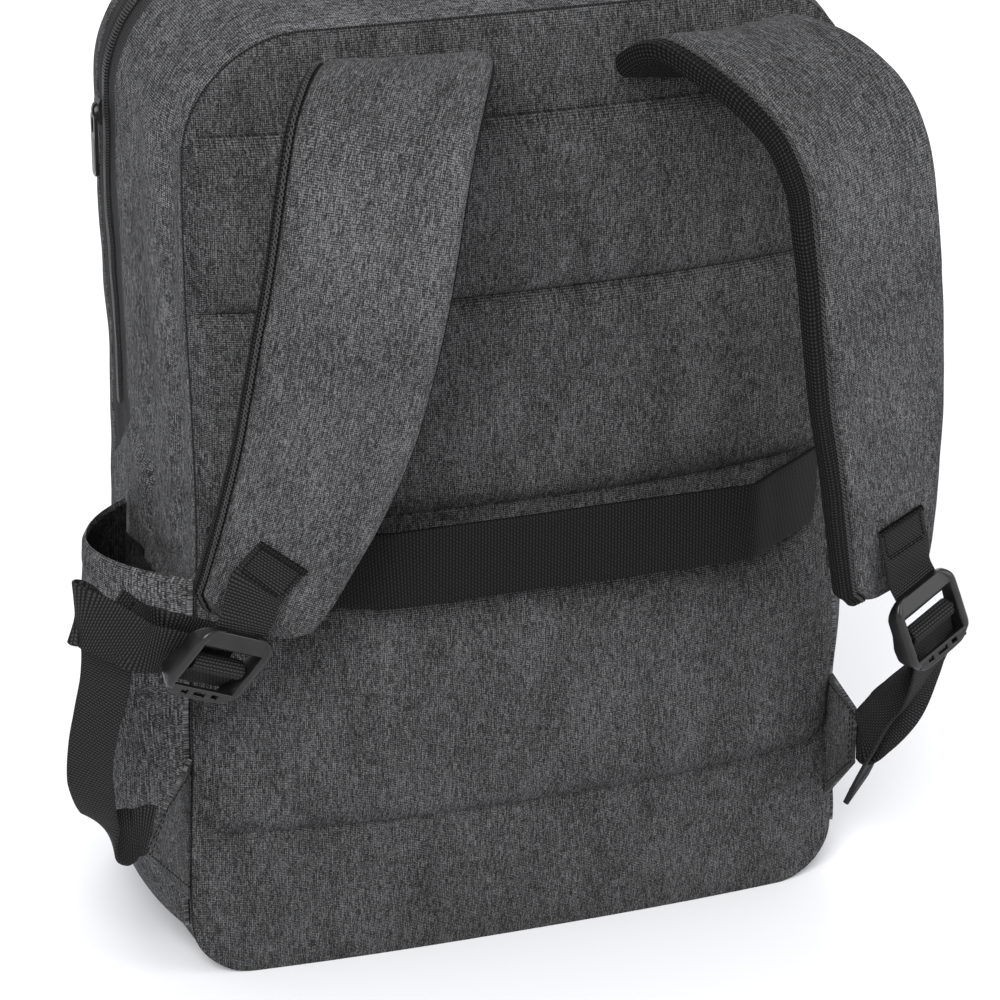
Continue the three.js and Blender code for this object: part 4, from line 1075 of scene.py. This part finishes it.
def make_luggage_strap():
    left, right = 71.0, 86.0
    arch = [
        (-HALF_WIDTH * 0.955, 0.14, 1), (-HALF_WIDTH * 0.84, 0.42, 0.6), (-left - 20, 0.80, 0.3),
        (-left - 5, 0.97, 0.1), (-left + 5, 1.0, 0), (-left / 2, 1.0, 0), (0, 1.0, 0), (right / 2, 1.0, 0),
        (right - 5, 1.0, 0), (right + 5, 0.96, 0.15), (right + 22, 0.66, 0.5), (HALF_WIDTH * 0.91, 0.145, 1),
    ]
    rows = [
        {"place": (x, BACK_Y - out * SLEEVE_REACH, SLEEVE_HEIGHT - drop * SLEEVE_SAG),
         "ax": 0, "ay": 0, "az": 1}
        for x, out, drop in arch
    ]
    route = Route(rows, np.linspace(0, 1, 200))

    def section(index):
        ring = np.array(flat_section(SLEEVE_WIDTH, SLEEVE_THICK, 14))
        ring[:, 1] += 0.35 * ripple(ring[:, 0], route.run[index], 60, 41)
        return ring

    sweep("luggage_webbing", route, section, SLEEVE, ["luggage_strap"])


LOCKS = {
    "left": {"x": -0.997, "out": 0.765, "z": 0.473,
             "across": (0.886, 0.175, -0.425), "down": (-0.455, 0.305, -0.83)},
    "right": {"x": 1.061, "out": 0.717, "z": 0.4145,
              "across": (0.886, 0.332, 0.326), "down": (0.359, -0.0135, -0.932)},
}
ATTACH_DOWN = LOCK_TOP + 1.6
ATTACH_OUT = -3.6
MIDDLE_DOWN = LOCK_TOP + 13
MIDDLE_OUT = -0.4


class LockFrame:
    """Place and directions of a buckle: down its length, across it and out of its face."""

    def __init__(self, row):
        self.origin = row_point(row)
        self.down = unit(np.array(row["down"], float))
        across = np.array(row["across"], float)
        self.across = unit(across - self.down * np.dot(across, self.down))
        self.face = np.cross(self.down, self.across)

    def place(self, down, out, slide=0.0):
        return self.origin + self.down * down + self.face * out + self.across * slide

    def matrix(self):
        made = Matrix((self.down, self.across, self.face)).transposed().to_4x4()
        made.translation = Vector(self.origin)
        return made


LOCK_FRAMES = {side: LockFrame(row) for side, row in LOCKS.items()}


def strip_parts(inner, outer, low, high):
    """A flat strip between two rows of as many points, from one height to another."""
    outline = [*inner, *outer[::-1]]
    count = len(inner)
    points = [(x, y, z) for z in (low, high) for x, y in outline]
    total = len(outline)
    faces = []
    for k in range(count - 1):
        quad = (k, k + 1, total - 2 - k, total - 1 - k)
        faces += [quad[::-1], tuple(total + q for q in quad)]
    for k in range(total):
        n = (k + 1) % total
        faces.append((k, n, total + n, total + k))
    return points, faces


def lock_inset(distance):
    """How far the buckle's rounded corner draws an edge in, at a distance from its end."""
    near = np.clip(LOCK_CORNER - np.asarray(distance, float), 0, LOCK_CORNER)
    return LOCK_CORNER - np.sqrt(np.maximum(LOCK_CORNER**2 - near**2, 0))


def cheek_grid(sign, length, half):
    """A cheek: a rounded bar that deepens in an S and turns in at both ends."""
    front = LOCK_FRONT
    down = length * (0.5 - 0.5 * np.cos(np.linspace(0, math.pi, 34)))
    keys = [0, 5, LOCK_TOP + 2, LOCK_TOP + 10, length - 12, length - 5, length]
    high = front + np.interp(down, keys, [-1.6, 0.1, 0.3, 0, -0.5, -0.9, -2.6])
    low = front + np.interp(down, keys, [-4.2, -6.6, -9.0, -9.6, -12.4, -12.0, -7.4])
    outer = half - lock_inset(np.minimum(down, length - down))
    rings = []
    for x, z0, z1, y in zip(down, low, high, outer):
        section = ring_section(4.0, z0, z1, 1.5, 5)
        rings.append([(x, sign * (y - 2.0 + s), z) for s, z in section])
    grid = np.array(rings)
    return np.concatenate([grid, grid[:, :1]], 1)


def make_lock(side):
    """A ladder lock: broad top plate, slotted lower flange, two S-shaped cheeks and two bars."""
    flange = LOCK_TOP + LOCK_OPENING
    length = flange + LOCK_FLANGE
    half_window, half = LOCK_WINDOW / 2, LOCK_WINDOW / 2 + LOCK_CHEEK
    front = LOCK_FRONT
    sides = np.linspace(-1, 1, 25) * (half - 1.2)
    edge = lock_inset(half - np.abs(sides))
    bow = 1 - np.abs(sides / half) ** 2.4

    def row(down):
        return [(float(d), float(y)) for d, y in zip(down + 0 * sides, sides)]

    top = strip_parts(row(edge + 0.4), row(np.maximum(LOCK_TOP, edge + 1)), front - 3.2, front)
    top[0][:] = [(x, y, z - 1.7 * max(1 - x / LOCK_TOP, 0) ** 2) for x, y, z in top[0]]
    foot = length - edge
    near, far = np.minimum(flange, foot - 2), np.minimum(flange + 1.7, foot - 1)
    inner_bar = strip_parts(row(near), row(far), front - 3.2, front - 0.9)
    lip = strip_parts(row(foot - 2.2 + bow), row(foot - 0.2 + 1.4 * bow), front - 4.4, front - 2.2)
    parts = [top, inner_bar, lip]
    for place, wide in ((-0.9, 6.0), (-0.33, 3.2), (0.33, 3.2), (0.9, 6.0)):
        y0, y1 = place * half_window - wide / 2, place * half_window + wide / 2
        rib = [(flange + 1.0, y0), (flange + 5.2, y0)], [(flange + 1.0, y1), (flange + 5.2, y1)]
        parts.append(strip_parts(*rib, front - 3.8, front - 1.6))
    for down, out in ((ATTACH_DOWN, ATTACH_OUT), (MIDDLE_DOWN, MIDDLE_OUT)):
        angles = np.linspace(0, math.tau, 17)[:-1]
        ring = [(down + LOCK_BAR * math.cos(a), out + LOCK_BAR * math.sin(a)) for a in angles]
        parts.append(profile_parts(ring, -half_window - 1, half_window + 1))
    lock, nodes = LOCK_FRAMES[side], [f"ladder_lock_{side}"]
    hard_piece(f"buckle_{side}", parts, lock.matrix(), PLASTIC, nodes, 0.7, 3)
    grids = []
    for sign in (-1, 1):
        grid = cheek_grid(sign, length, half)
        place = lock.origin + sum(grid[..., axis:axis + 1] * way for axis, way in
                                  enumerate((lock.down, lock.across, lock.face)))
        grids += capped(place, grid[..., :2])
    skin(f"buckle_cheeks_{side}", grids, PLASTIC, nodes, 70)


def lock_steps(lock, steps):
    """Rows of a webbing route in a buckle's frame: down, out, across it and its turn."""
    rows = []
    for step in steps:
        down, out, slide, turn = (*step, 0, 0)[:4]
        angle = math.radians(turn)
        wide = lock.across * math.cos(angle) + lock.down * math.sin(angle)
        rows.append({"place": lock.place(down, out, slide), "ax": wide[0], "ay": wide[1], "az": wide[2]})
    return rows


BAR_TURN = LOCK_BAR + 0.3 + WEBBING_THICK / 2


def ribbon(name, rows, count, nodes, hem=None, seed=51):
    """A webbing piece along rows. hem is (run in mm, extra thickness) of a folded free end."""
    route = Route(rows, np.linspace(0, 1, count))

    def section(index):
        extra, shift = 0.0, 0.0
        if hem is not None:
            from_end = route.run[-1] - route.run[index]
            extra = hem[1] * smooth(hem[0] + 1.5, hem[0] - 1.0, from_end)
            shift = -extra / 2
        width = WEBBING_WIDTH * route.size[index]
        ring = np.array(flat_section(width, WEBBING_THICK + extra, 10, 0.6, shift))
        ring[:, 1] += 0.12 * ripple(ring[:, 0], route.run[index], 30, seed)
        return ring

    sweep(name, route, section, WEBBING, nodes)
    return route


def make_pad_webbing(side, pad_rows, skew, drift, own):
    """The patch sewn on a shoulder pad, whose webbing loops round the buckle's upper bar."""
    lock = LOCK_FRAMES[side]
    sewn_route = Route(pad_rows, [0.785, 0.805, 0.825, 0.845])
    rise = SHOULDER_FABRIC + 0.3 + WEBBING_THICK / 2 + WEBBING_SEAT
    sewn = []
    for index, share in enumerate(sewn_route.shares):
        place = sewn_route.place(index, skew * (share - 0.6) + drift * index, rise + 0.35 * index**2)
        face = sewn_route.face[index]
        flat = lock.across - face * np.dot(face, lock.across)
        share_own = own * (1 - index / 4)
        ax, ay, az = share_own * sewn_route.across[index] + (1 - share_own) * unit(flat)
        sewn.append({"place": place, "ax": ax, "ay": ay, "az": az})
    rows = sewn + lock_steps(lock, [
        (-5, ATTACH_OUT + 1.5),
        (LOCK_TOP * 0.25, ATTACH_OUT + BAR_TURN - 0.3),
        (ATTACH_DOWN, ATTACH_OUT + BAR_TURN),
        (ATTACH_DOWN + BAR_TURN * 0.75, ATTACH_OUT + BAR_TURN * 0.7),
        (ATTACH_DOWN + BAR_TURN, ATTACH_OUT),
        (ATTACH_DOWN + BAR_TURN * 0.75, ATTACH_OUT - BAR_TURN * 0.7),
        (ATTACH_DOWN - 1, ATTACH_OUT - BAR_TURN),
    ])
    route = ribbon(f"patch_webbing_{side}", rows, 90, [f"pad_webbing_{side}"])
    width = WEBBING_WIDTH / 2 - 0.5
    fold = np.array([route.place(1, s, 0.9) for s in np.linspace(-width, width, 14)])
    skin(f"patch_fold_{side}", [tube_grid(fold, 1.25)], SLEEVE)
    lines = box_seam(route, 1.5, 17, WEBBING_WIDTH / 2 - 2.2, 12, WEBBING_THICK / 2 + 0.12, (-3,))
    stitches(f"patch_stitches_{side}", lines, 1.7, 0.5, 0.42)


def round_middle_bar(lock, facing):
    steps = [
        (MIDDLE_DOWN + 1, MIDDLE_OUT - 4.6),
        (MIDDLE_DOWN - BAR_TURN * 0.9, MIDDLE_OUT - 2.8),
        (MIDDLE_DOWN - BAR_TURN * 1.15, MIDDLE_OUT),
        (MIDDLE_DOWN - BAR_TURN * 0.7, MIDDLE_OUT + BAR_TURN * 0.75),
        (MIDDLE_DOWN, MIDDLE_OUT + BAR_TURN),
        (MIDDLE_DOWN + BAR_TURN * 0.9, MIDDLE_OUT + BAR_TURN * 0.55),
        (MIDDLE_DOWN + BAR_TURN * 1.6, MIDDLE_OUT - BAR_TURN * 0.3),
    ]
    return lock_steps(lock, [(down, out, 0, facing) for down, out in steps])


# Runs of the load webbings, in the same form; the plain lists are in a buckle's frame
LEFT_LOOP = named("x out z ax ay az", [
    (-1.181, 0.193, 0.2025, -0.47, 0, -0.88),
    (-1.21, 0.20, 0.2045, -0.47, -0.12, -0.88),
    (-1.25, 0.235, 0.205, -0.38, -0.45, -0.75),
    (-1.297, 0.27, 0.212, -0.15, -0.78, -0.5),
    (-1.345, 0.295, 0.236, 0.45, -0.8, 0),
    (-1.37, 0.31, 0.273, 0.6, -0.75, 0.15),
    (-1.37, 0.32, 0.31, 0.55, -0.78, 0.1),
    (-1.35, 0.33, 0.35, 0.55, -0.75, 0.1),
    (-1.325, 0.345, 0.39, 0.6, -0.7, 0.05),
    (-1.318, 0.365, 0.43, 0.65, -0.65, 0),
    (-1.33, 0.38, 0.465, 0.7, -0.5, -0.1),
])
LEFT_BAND = named("x out z ax ay az size", [
    (-1.325, 0.385, 0.462, 0.1, 0.1, -0.98, 0.7),
    (-1.375, 0.39, 0.471, 0.06, 0.1, -0.98, 0.95),
    (-1.41, 0.43, 0.479, 0.03, 0.15, -0.98, 1.14),
    (-1.398, 0.475, 0.4785, -0.07, 0.15, -0.97, 1.16),
    (-1.36, 0.515, 0.472, -0.24, 0.1, -0.95, 1.08),
    (-1.30, 0.545, 0.46, -0.3, 0.1, -0.93, 1.0),
    (-1.25, 0.57, 0.449, -0.3, 0.15, -0.92, 1.0),
])
LEFT_BEHIND = [(29, -12.5, -16, 76), (28, -10.5, -6, 78), (27, -9.6, 4, 82), (26, -9.2, 11, 86)]
LEFT_WRAP_IN = [(36, -8.0), (30, -6.4)]
LEFT_WRAP_OUT = [(29.5, -2.9), (35, -5.2)]
LEFT_TAIL = named("x out z ax ay az", [
    (-1.25, 0.51, 0.458, -0.3, -0.4, -0.8),
    (-1.33, 0.475, 0.478, -0.2, -0.3, -0.9),
])
LEFT_TAIL_BEHIND = [(22, -14, 2, 90), (23, -15.5, -8, 90), (25, -17.5, -18, 90)]
RIGHT_BELOW = named("x out z ax ay az", [
    (1.035, 0.265, 0.195, 0, 0, 1),
    (1.035, 0.32, 0.196, 0, 0.1, 1),
    (1.052, 0.38, 0.212, -0.1, 0.25, 0.95),
    (1.085, 0.455, 0.24, -0.35, 0.3, 0.85),
    (1.115, 0.54, 0.28, -0.85, 0, 0.3),
])
RIGHT_IN = [(38, -8, 0, 180), (29, -6.6, 0, 180)]
RIGHT_OUT = [(30, -2.8, 0, 180), (37, -4.2, 0, 180)]
RIGHT_TAIL = named("x out z ax ay az", [
    (1.15, 0.52, 0.268, -0.75, -0.4, -0.3),
    (1.11, 0.45, 0.236, -0.7, -0.5, -0.2),
    (1.075, 0.39, 0.20, -0.6, -0.6, -0.1),
    (1.055, 0.32, 0.165, -0.6, -0.6, -0.1),
    (1.04, 0.25, 0.13, -0.6, -0.6, -0.1),
])


def make_adjust_webbing():
    """Load webbings. The left one folds over behind its buckle, so it is runs that meet there."""
    left, right = LOCK_FRAMES["left"], LOCK_FRAMES["right"]
    band = [*LEFT_BAND, *lock_steps(left, LEFT_BEHIND)]
    wrap = [*lock_steps(left, LEFT_WRAP_IN), *round_middle_bar(left, 0), *lock_steps(left, LEFT_WRAP_OUT)]
    tail = [*lock_steps(left, LEFT_TAIL_BEHIND), *LEFT_TAIL]
    both = [*RIGHT_BELOW, *lock_steps(right, RIGHT_IN), *round_middle_bar(right, 180),
            *lock_steps(right, RIGHT_OUT), *RIGHT_TAIL]
    nodes = ["adjust_webbing_left"]
    ribbon("loop_webbing_left", LEFT_LOOP, 160, nodes, seed=60)
    ribbon("load_webbing_left", band, 200, nodes, seed=61)
    ribbon("lock_webbing_left", wrap, 110, nodes, seed=62)
    left_route = ribbon("tail_webbing_left", tail, 60, nodes, hem=(8.0, 1.1), seed=63)
    right_route = ribbon("load_webbing_right", both, 420, ["adjust_webbing_right"], hem=(12.0, 1.1), seed=64)
    for side, route in (("left", left_route), ("right", right_route)):
        last = int(np.searchsorted(route.run, route.run[-1] - 7.0))
        sides = np.linspace(-WEBBING_WIDTH / 2 + 2, WEBBING_WIDTH / 2 - 2, 12)
        line = [route.place(last, s, WEBBING_THICK / 2 + 0.15) for s in sides]
        stitches(f"tail_stitches_{side}", [(line, [route.face[last]] * 12)], 1.7, 0.6, 0.4)


def make_gusset(side, edge_head, edge_foot, seed):
    rightward = 1 if side == "right" else -1
    head, foot, thick = 110.0, 40.0, 2.0

    def seam(z):
        x = rightward * (HALF_WIDTH * float(waist(z, rightward)) + (-1.5 if rightward > 0 else 1.2))
        return np.array([x, BACK_Y + 1.0, z])

    corners = [seam(head), seam(foot), row_point(edge_head), row_point(edge_foot)]
    normal = unit(np.cross(corners[2] - corners[1], corners[3] - corners[0]))
    u = np.linspace(0, 1, 24)[None, :, None]
    v = np.linspace(0, 1, 50)[:, None, None]
    sewn = corners[0] + (corners[1] - corners[0]) * v
    free = corners[2] + (corners[3] - corners[2]) * v
    middle = sewn + (free - sewn) * u
    reach = np.linalg.norm(free - sewn, axis=-1) * u[..., 0]
    down = np.linalg.norm(corners[1] - corners[0]) * v[..., 0] + 0 * u[..., 0]
    hem = np.maximum(np.exp(-(v[..., 0] / 0.05) ** 2), np.exp(-((1 - v[..., 0]) / 0.05) ** 2)) + 0 * u[..., 0]
    soft = np.sin(math.pi * u[..., 0]) * np.sin(math.pi * v[..., 0])
    dents = (0.5 * ripple(reach, down, 16, seed)) * soft
    half = thick / 2 * (0.72 + 0.28 * hem)
    outer = middle + normal * (half + dents)[..., None]
    inner = middle - normal * (half - dents)[..., None]
    weave = np.stack([reach, down], -1)
    skin(f"gusset_cloth_{side}", wall(outer, inner, weave), CLOTH, [f"side_gusset_{side}"])
    lines = []
    way = normal if np.dot(normal, [0, -1, 0]) > 0 else -normal
    face = outer if way is normal else inner
    for row in (4, 45):
        lines.append((face[row] + way * 0.15, np.tile(way, (face.shape[1], 1))))
    for column in (20, 22):
        lines.append((face[:, column] + way * 0.15, np.tile(way, (face.shape[0], 1))))
    stitches(f"gusset_stitches_{side}", lines, 2.0, 0.9)


# How far a pocket gapes at shares of its depth and of its height
POCKET_PLAN = named("at bulge", [
    (0.0, 0.0), (0.1, 0.34), (0.25, 0.72), (0.42, 0.96), (0.58, 1.0), (0.74, 0.8), (0.88, 0.45),
    (1.0, 0.0),
])
POCKET_HEIGHT = named("at bulge", [
    (0.0, 0.1), (0.15, 0.45), (0.4, 0.8), (0.65, 1.0), (1.0, 1.0),
])


def make_pocket(side, bulge, seed):
    """A side pocket: one wall that gapes at its rim, which is folded over and sewn."""
    rightward = 1 if side == "right" else -1
    u = np.linspace(0, 1, 80)[None]
    v = np.concatenate([np.linspace(0, 0.94, 60), np.linspace(0.95, 1, 12)])[:, None]
    y = BACK_Y + 2 + u * POCKET_DEPTH + 0 * v
    z = CORNER_BASE + v * (POCKET_RIM - CORNER_BASE) + 0 * u
    rise = table(POCKET_HEIGHT, "bulge", v)
    plan = table(POCKET_PLAN, "bulge", u)
    free = np.sin(math.pi * u) * smooth(0, 0.2, v)
    calm = 1 - 0.85 * smooth(0.6, 0.97, v)
    folds = (1.0 * ripple(z * 0.5, y, 34, seed) + 0.4 * ripple(z, y, 18, seed + 1)) * free * calm
    slouch = 2.2 * np.exp(-(((v - 0.45) / 0.12) ** 2)) * np.sin(math.pi * u) ** 2 * (bulge / 28)
    hem = 0.5 * smooth(0.925, 0.935, v) * smooth(0, 0.04, u) * smooth(1, 0.96, u)
    round_top = smooth(1.0, 0.985, v)
    station = np.stack([rightward * HALF_WIDTH + 0 * z, z, rightward + 0 * z, 0 * z], -1)
    base = POCKET_WALL + 1.0 + rise * bulge * plan + folds - slouch
    outer = side_point(station, y, -(base + hem * round_top - 0.7 * (1 - round_top)), 0.0)
    inner = side_point(station, y, -(base - POCKET_WALL + 0.5 * (1 - round_top)), 0.0)
    weave = np.stack([0.7 * y, z], -1)
    row = POCKET_SEAM_ROW
    seam_points = side_point(station[row], y[row], -(base[row] + 0.35), 0.0)
    out = np.tile([rightward, 0.0, 0.0], (seam_points.shape[0], 1))
    skin(f"pocket_cloth_{side}", wall(outer, inner, weave), CLOTH, [f"bottle_pocket_{side}"])
    # Painted shade: dark sheets just inside the pocket wall and on the bag's side within the pocket stand for
    # the shade in the pocket
    inner_shade = side_point(station, y, -(base - POCKET_WALL - 0.35), 0.0)[:-3]
    behind = side_point(station, y, -1.4, 1.0)[:-14]
    skin(f"pocket_painted_shade_{side}", [(inner_shade, weave[:-3]), (behind, weave[:-14])], POCKET_SHADE_CLOTH)
    stitches(f"pocket_stitches_{side}", [(seam_points, out)])


def make_handle():
    half, rise, thick, width = 44.0, 24.0, 4.0, 26.0
    y = (BACK_Y + ZIPPER_Y - ZIPPER_BAND / 2) / 2 - 6
    share = (y + width / 2 - BACK_Y) / BODY_DEPTH
    foot = BODY_HEIGHT + SIDE_BULGE * float(table(SWELL, "swell", share)) + 0.5
    shape = [(-1.25, 0), (-1, 0.02), (-0.8, 0.35), (-0.5, 0.85), (0, 1)]
    shape += [(-x, z) for x, z in shape[-2::-1]]
    places = [(x * half, y, foot + thick / 2 + z * rise) for x, z in shape]
    rows = [{"place": place, "ax": 0, "ay": 1, "az": 0} for place in places]
    route = Route(rows, np.linspace(0, 1, 110))
    total = route.run[-1]

    def section(index):
        grip = smooth(22, 34, route.run[index]) * smooth(22, 34, total - route.run[index])
        ring = np.array(flat_section(width * (1 - 0.1 * grip), thick * (0.62 + 0.38 * grip), 14, 1.4))
        ring[:, 1] += 0.5 * grip * (1 - (2 * ring[:, 0] / width) ** 2) * np.sign(ring[:, 1])
        return ring

    piece = sweep("handle_cloth", route, section, CLOTH, ["grab_handle"])
    lines = []
    for low, high in ((3, 15), (total - 15, total - 3)):
        lines += box_seam(route, low, high, width / 2 - 2.5, 10, 1.5)
    stitches("handle_stitches", lines, 2.2, 0.8, 0.4)


def make_camera():
    turn, tilt, roll = CAMERA_TURN, CAMERA_TILT, CAMERA_ROLL
    forward = Vector((math.sin(turn) * math.cos(tilt), math.cos(turn) * math.cos(tilt), -math.sin(tilt)))
    right = Vector((math.cos(turn), -math.sin(turn), 0))
    up = right.cross(forward)
    rolled_right = right * math.cos(roll) + up * math.sin(roll)
    rolled_up = up * math.cos(roll) - right * math.sin(roll)
    data = bpy.data.cameras.new("camera")
    data.sensor_width = SENSOR
    data.lens = CAMERA_LENS
    data.clip_start = 0.05
    data.clip_end = 30
    camera = bpy.data.objects.new("camera", data)
    matrix = Matrix((rolled_right, rolled_up, -forward)).transposed().to_4x4()
    matrix.translation = Vector(CAMERA_PLACE) * MM
    camera.matrix_world = matrix
    bpy.context.scene.collection.objects.link(camera)
    bpy.context.scene.camera = camera


def make_floor():
    size = 8.0
    mesh = bpy.data.meshes.new("floor")
    corners = [(-size, -size, 0), (size, -size, 0), (size, size, 0), (-size, size, 0)]
    mesh.from_pydata(corners, [], [(0, 1, 2, 3)])
    floor = bpy.data.objects.new("floor", mesh)
    bpy.context.scene.collection.objects.link(floor)
    mesh.materials.append(plain("pale_floor", 0.86, 0.9))


def make_light(name, place, target, size, power):
    data = bpy.data.lights.new(name, "AREA")
    data.shape = "DISK"
    data.size = size
    data.energy = power
    lamp = bpy.data.objects.new(name, data)
    lamp.location = place
    lamp.rotation_euler = (Vector(target) - Vector(place)).to_track_quat("-Z", "Y").to_euler()
    bpy.context.scene.collection.objects.link(lamp)


def make_studio():
    bpy.context.scene.view_settings.view_transform = "Standard"
    world = bpy.data.worlds.new("studio")
    world.use_nodes = True
    world.node_tree.nodes["Background"].inputs[0].default_value = (0.95, 0.96, 1.0, 1)
    world.node_tree.nodes["Background"].inputs[1].default_value = 0.72
    bpy.context.scene.world = world
    middle = (0.0, 0.0, 0.22)
    make_light("key", (-1.1, -2.0, 1.9), middle, 1.4, 76)
    make_light("fill", (1.9, -1.5, 1.0), middle, 1.6, 26)
    make_light("back", (0.4, 1.9, 1.6), middle, 1.6, 24)


make_camera()
make_floor()
make_studio()
make_side_band()
make_front()
make_zipper()
make_slider("left", -1)
make_slider("right", 1)
make_back_panel()
seam_lines = make_back_pad("back_pad_lower", 76.0, 187.0, 1, 1, 101)
seam_lines += make_back_pad("back_pad_middle", 226.0, 322.2, 1, 0, 111)
seam_lines += make_back_pad("back_pad_top", 322.8, 400.0, 0, 0, 121)
stitches("back_stitches", seam_lines)
make_luggage_strap()
make_shoulder("left", LEFT_PAD, 131)
make_shoulder("right", RIGHT_PAD, 141)
make_lock("left")
make_lock("right")
make_pad_webbing("left", LEFT_PAD, 0, -2.1, 0.1)
make_pad_webbing("right", RIGHT_PAD, 20, 0, 0.95)
make_adjust_webbing()
make_gusset("left", {"x": -1.135, "out": 0.19, "z": 0.225}, {"x": -1.21, "out": 0.19, "z": 0.178}, 151)
make_gusset("right", {"x": 1.02, "out": 0.285, "z": 0.226}, {"x": 1.02, "out": 0.285, "z": 0.164}, 152)
make_pocket("left", 28.0, 161)
make_pocket("right", 12.0, 171)
make_handle()

bpy.context.view_layer.update()
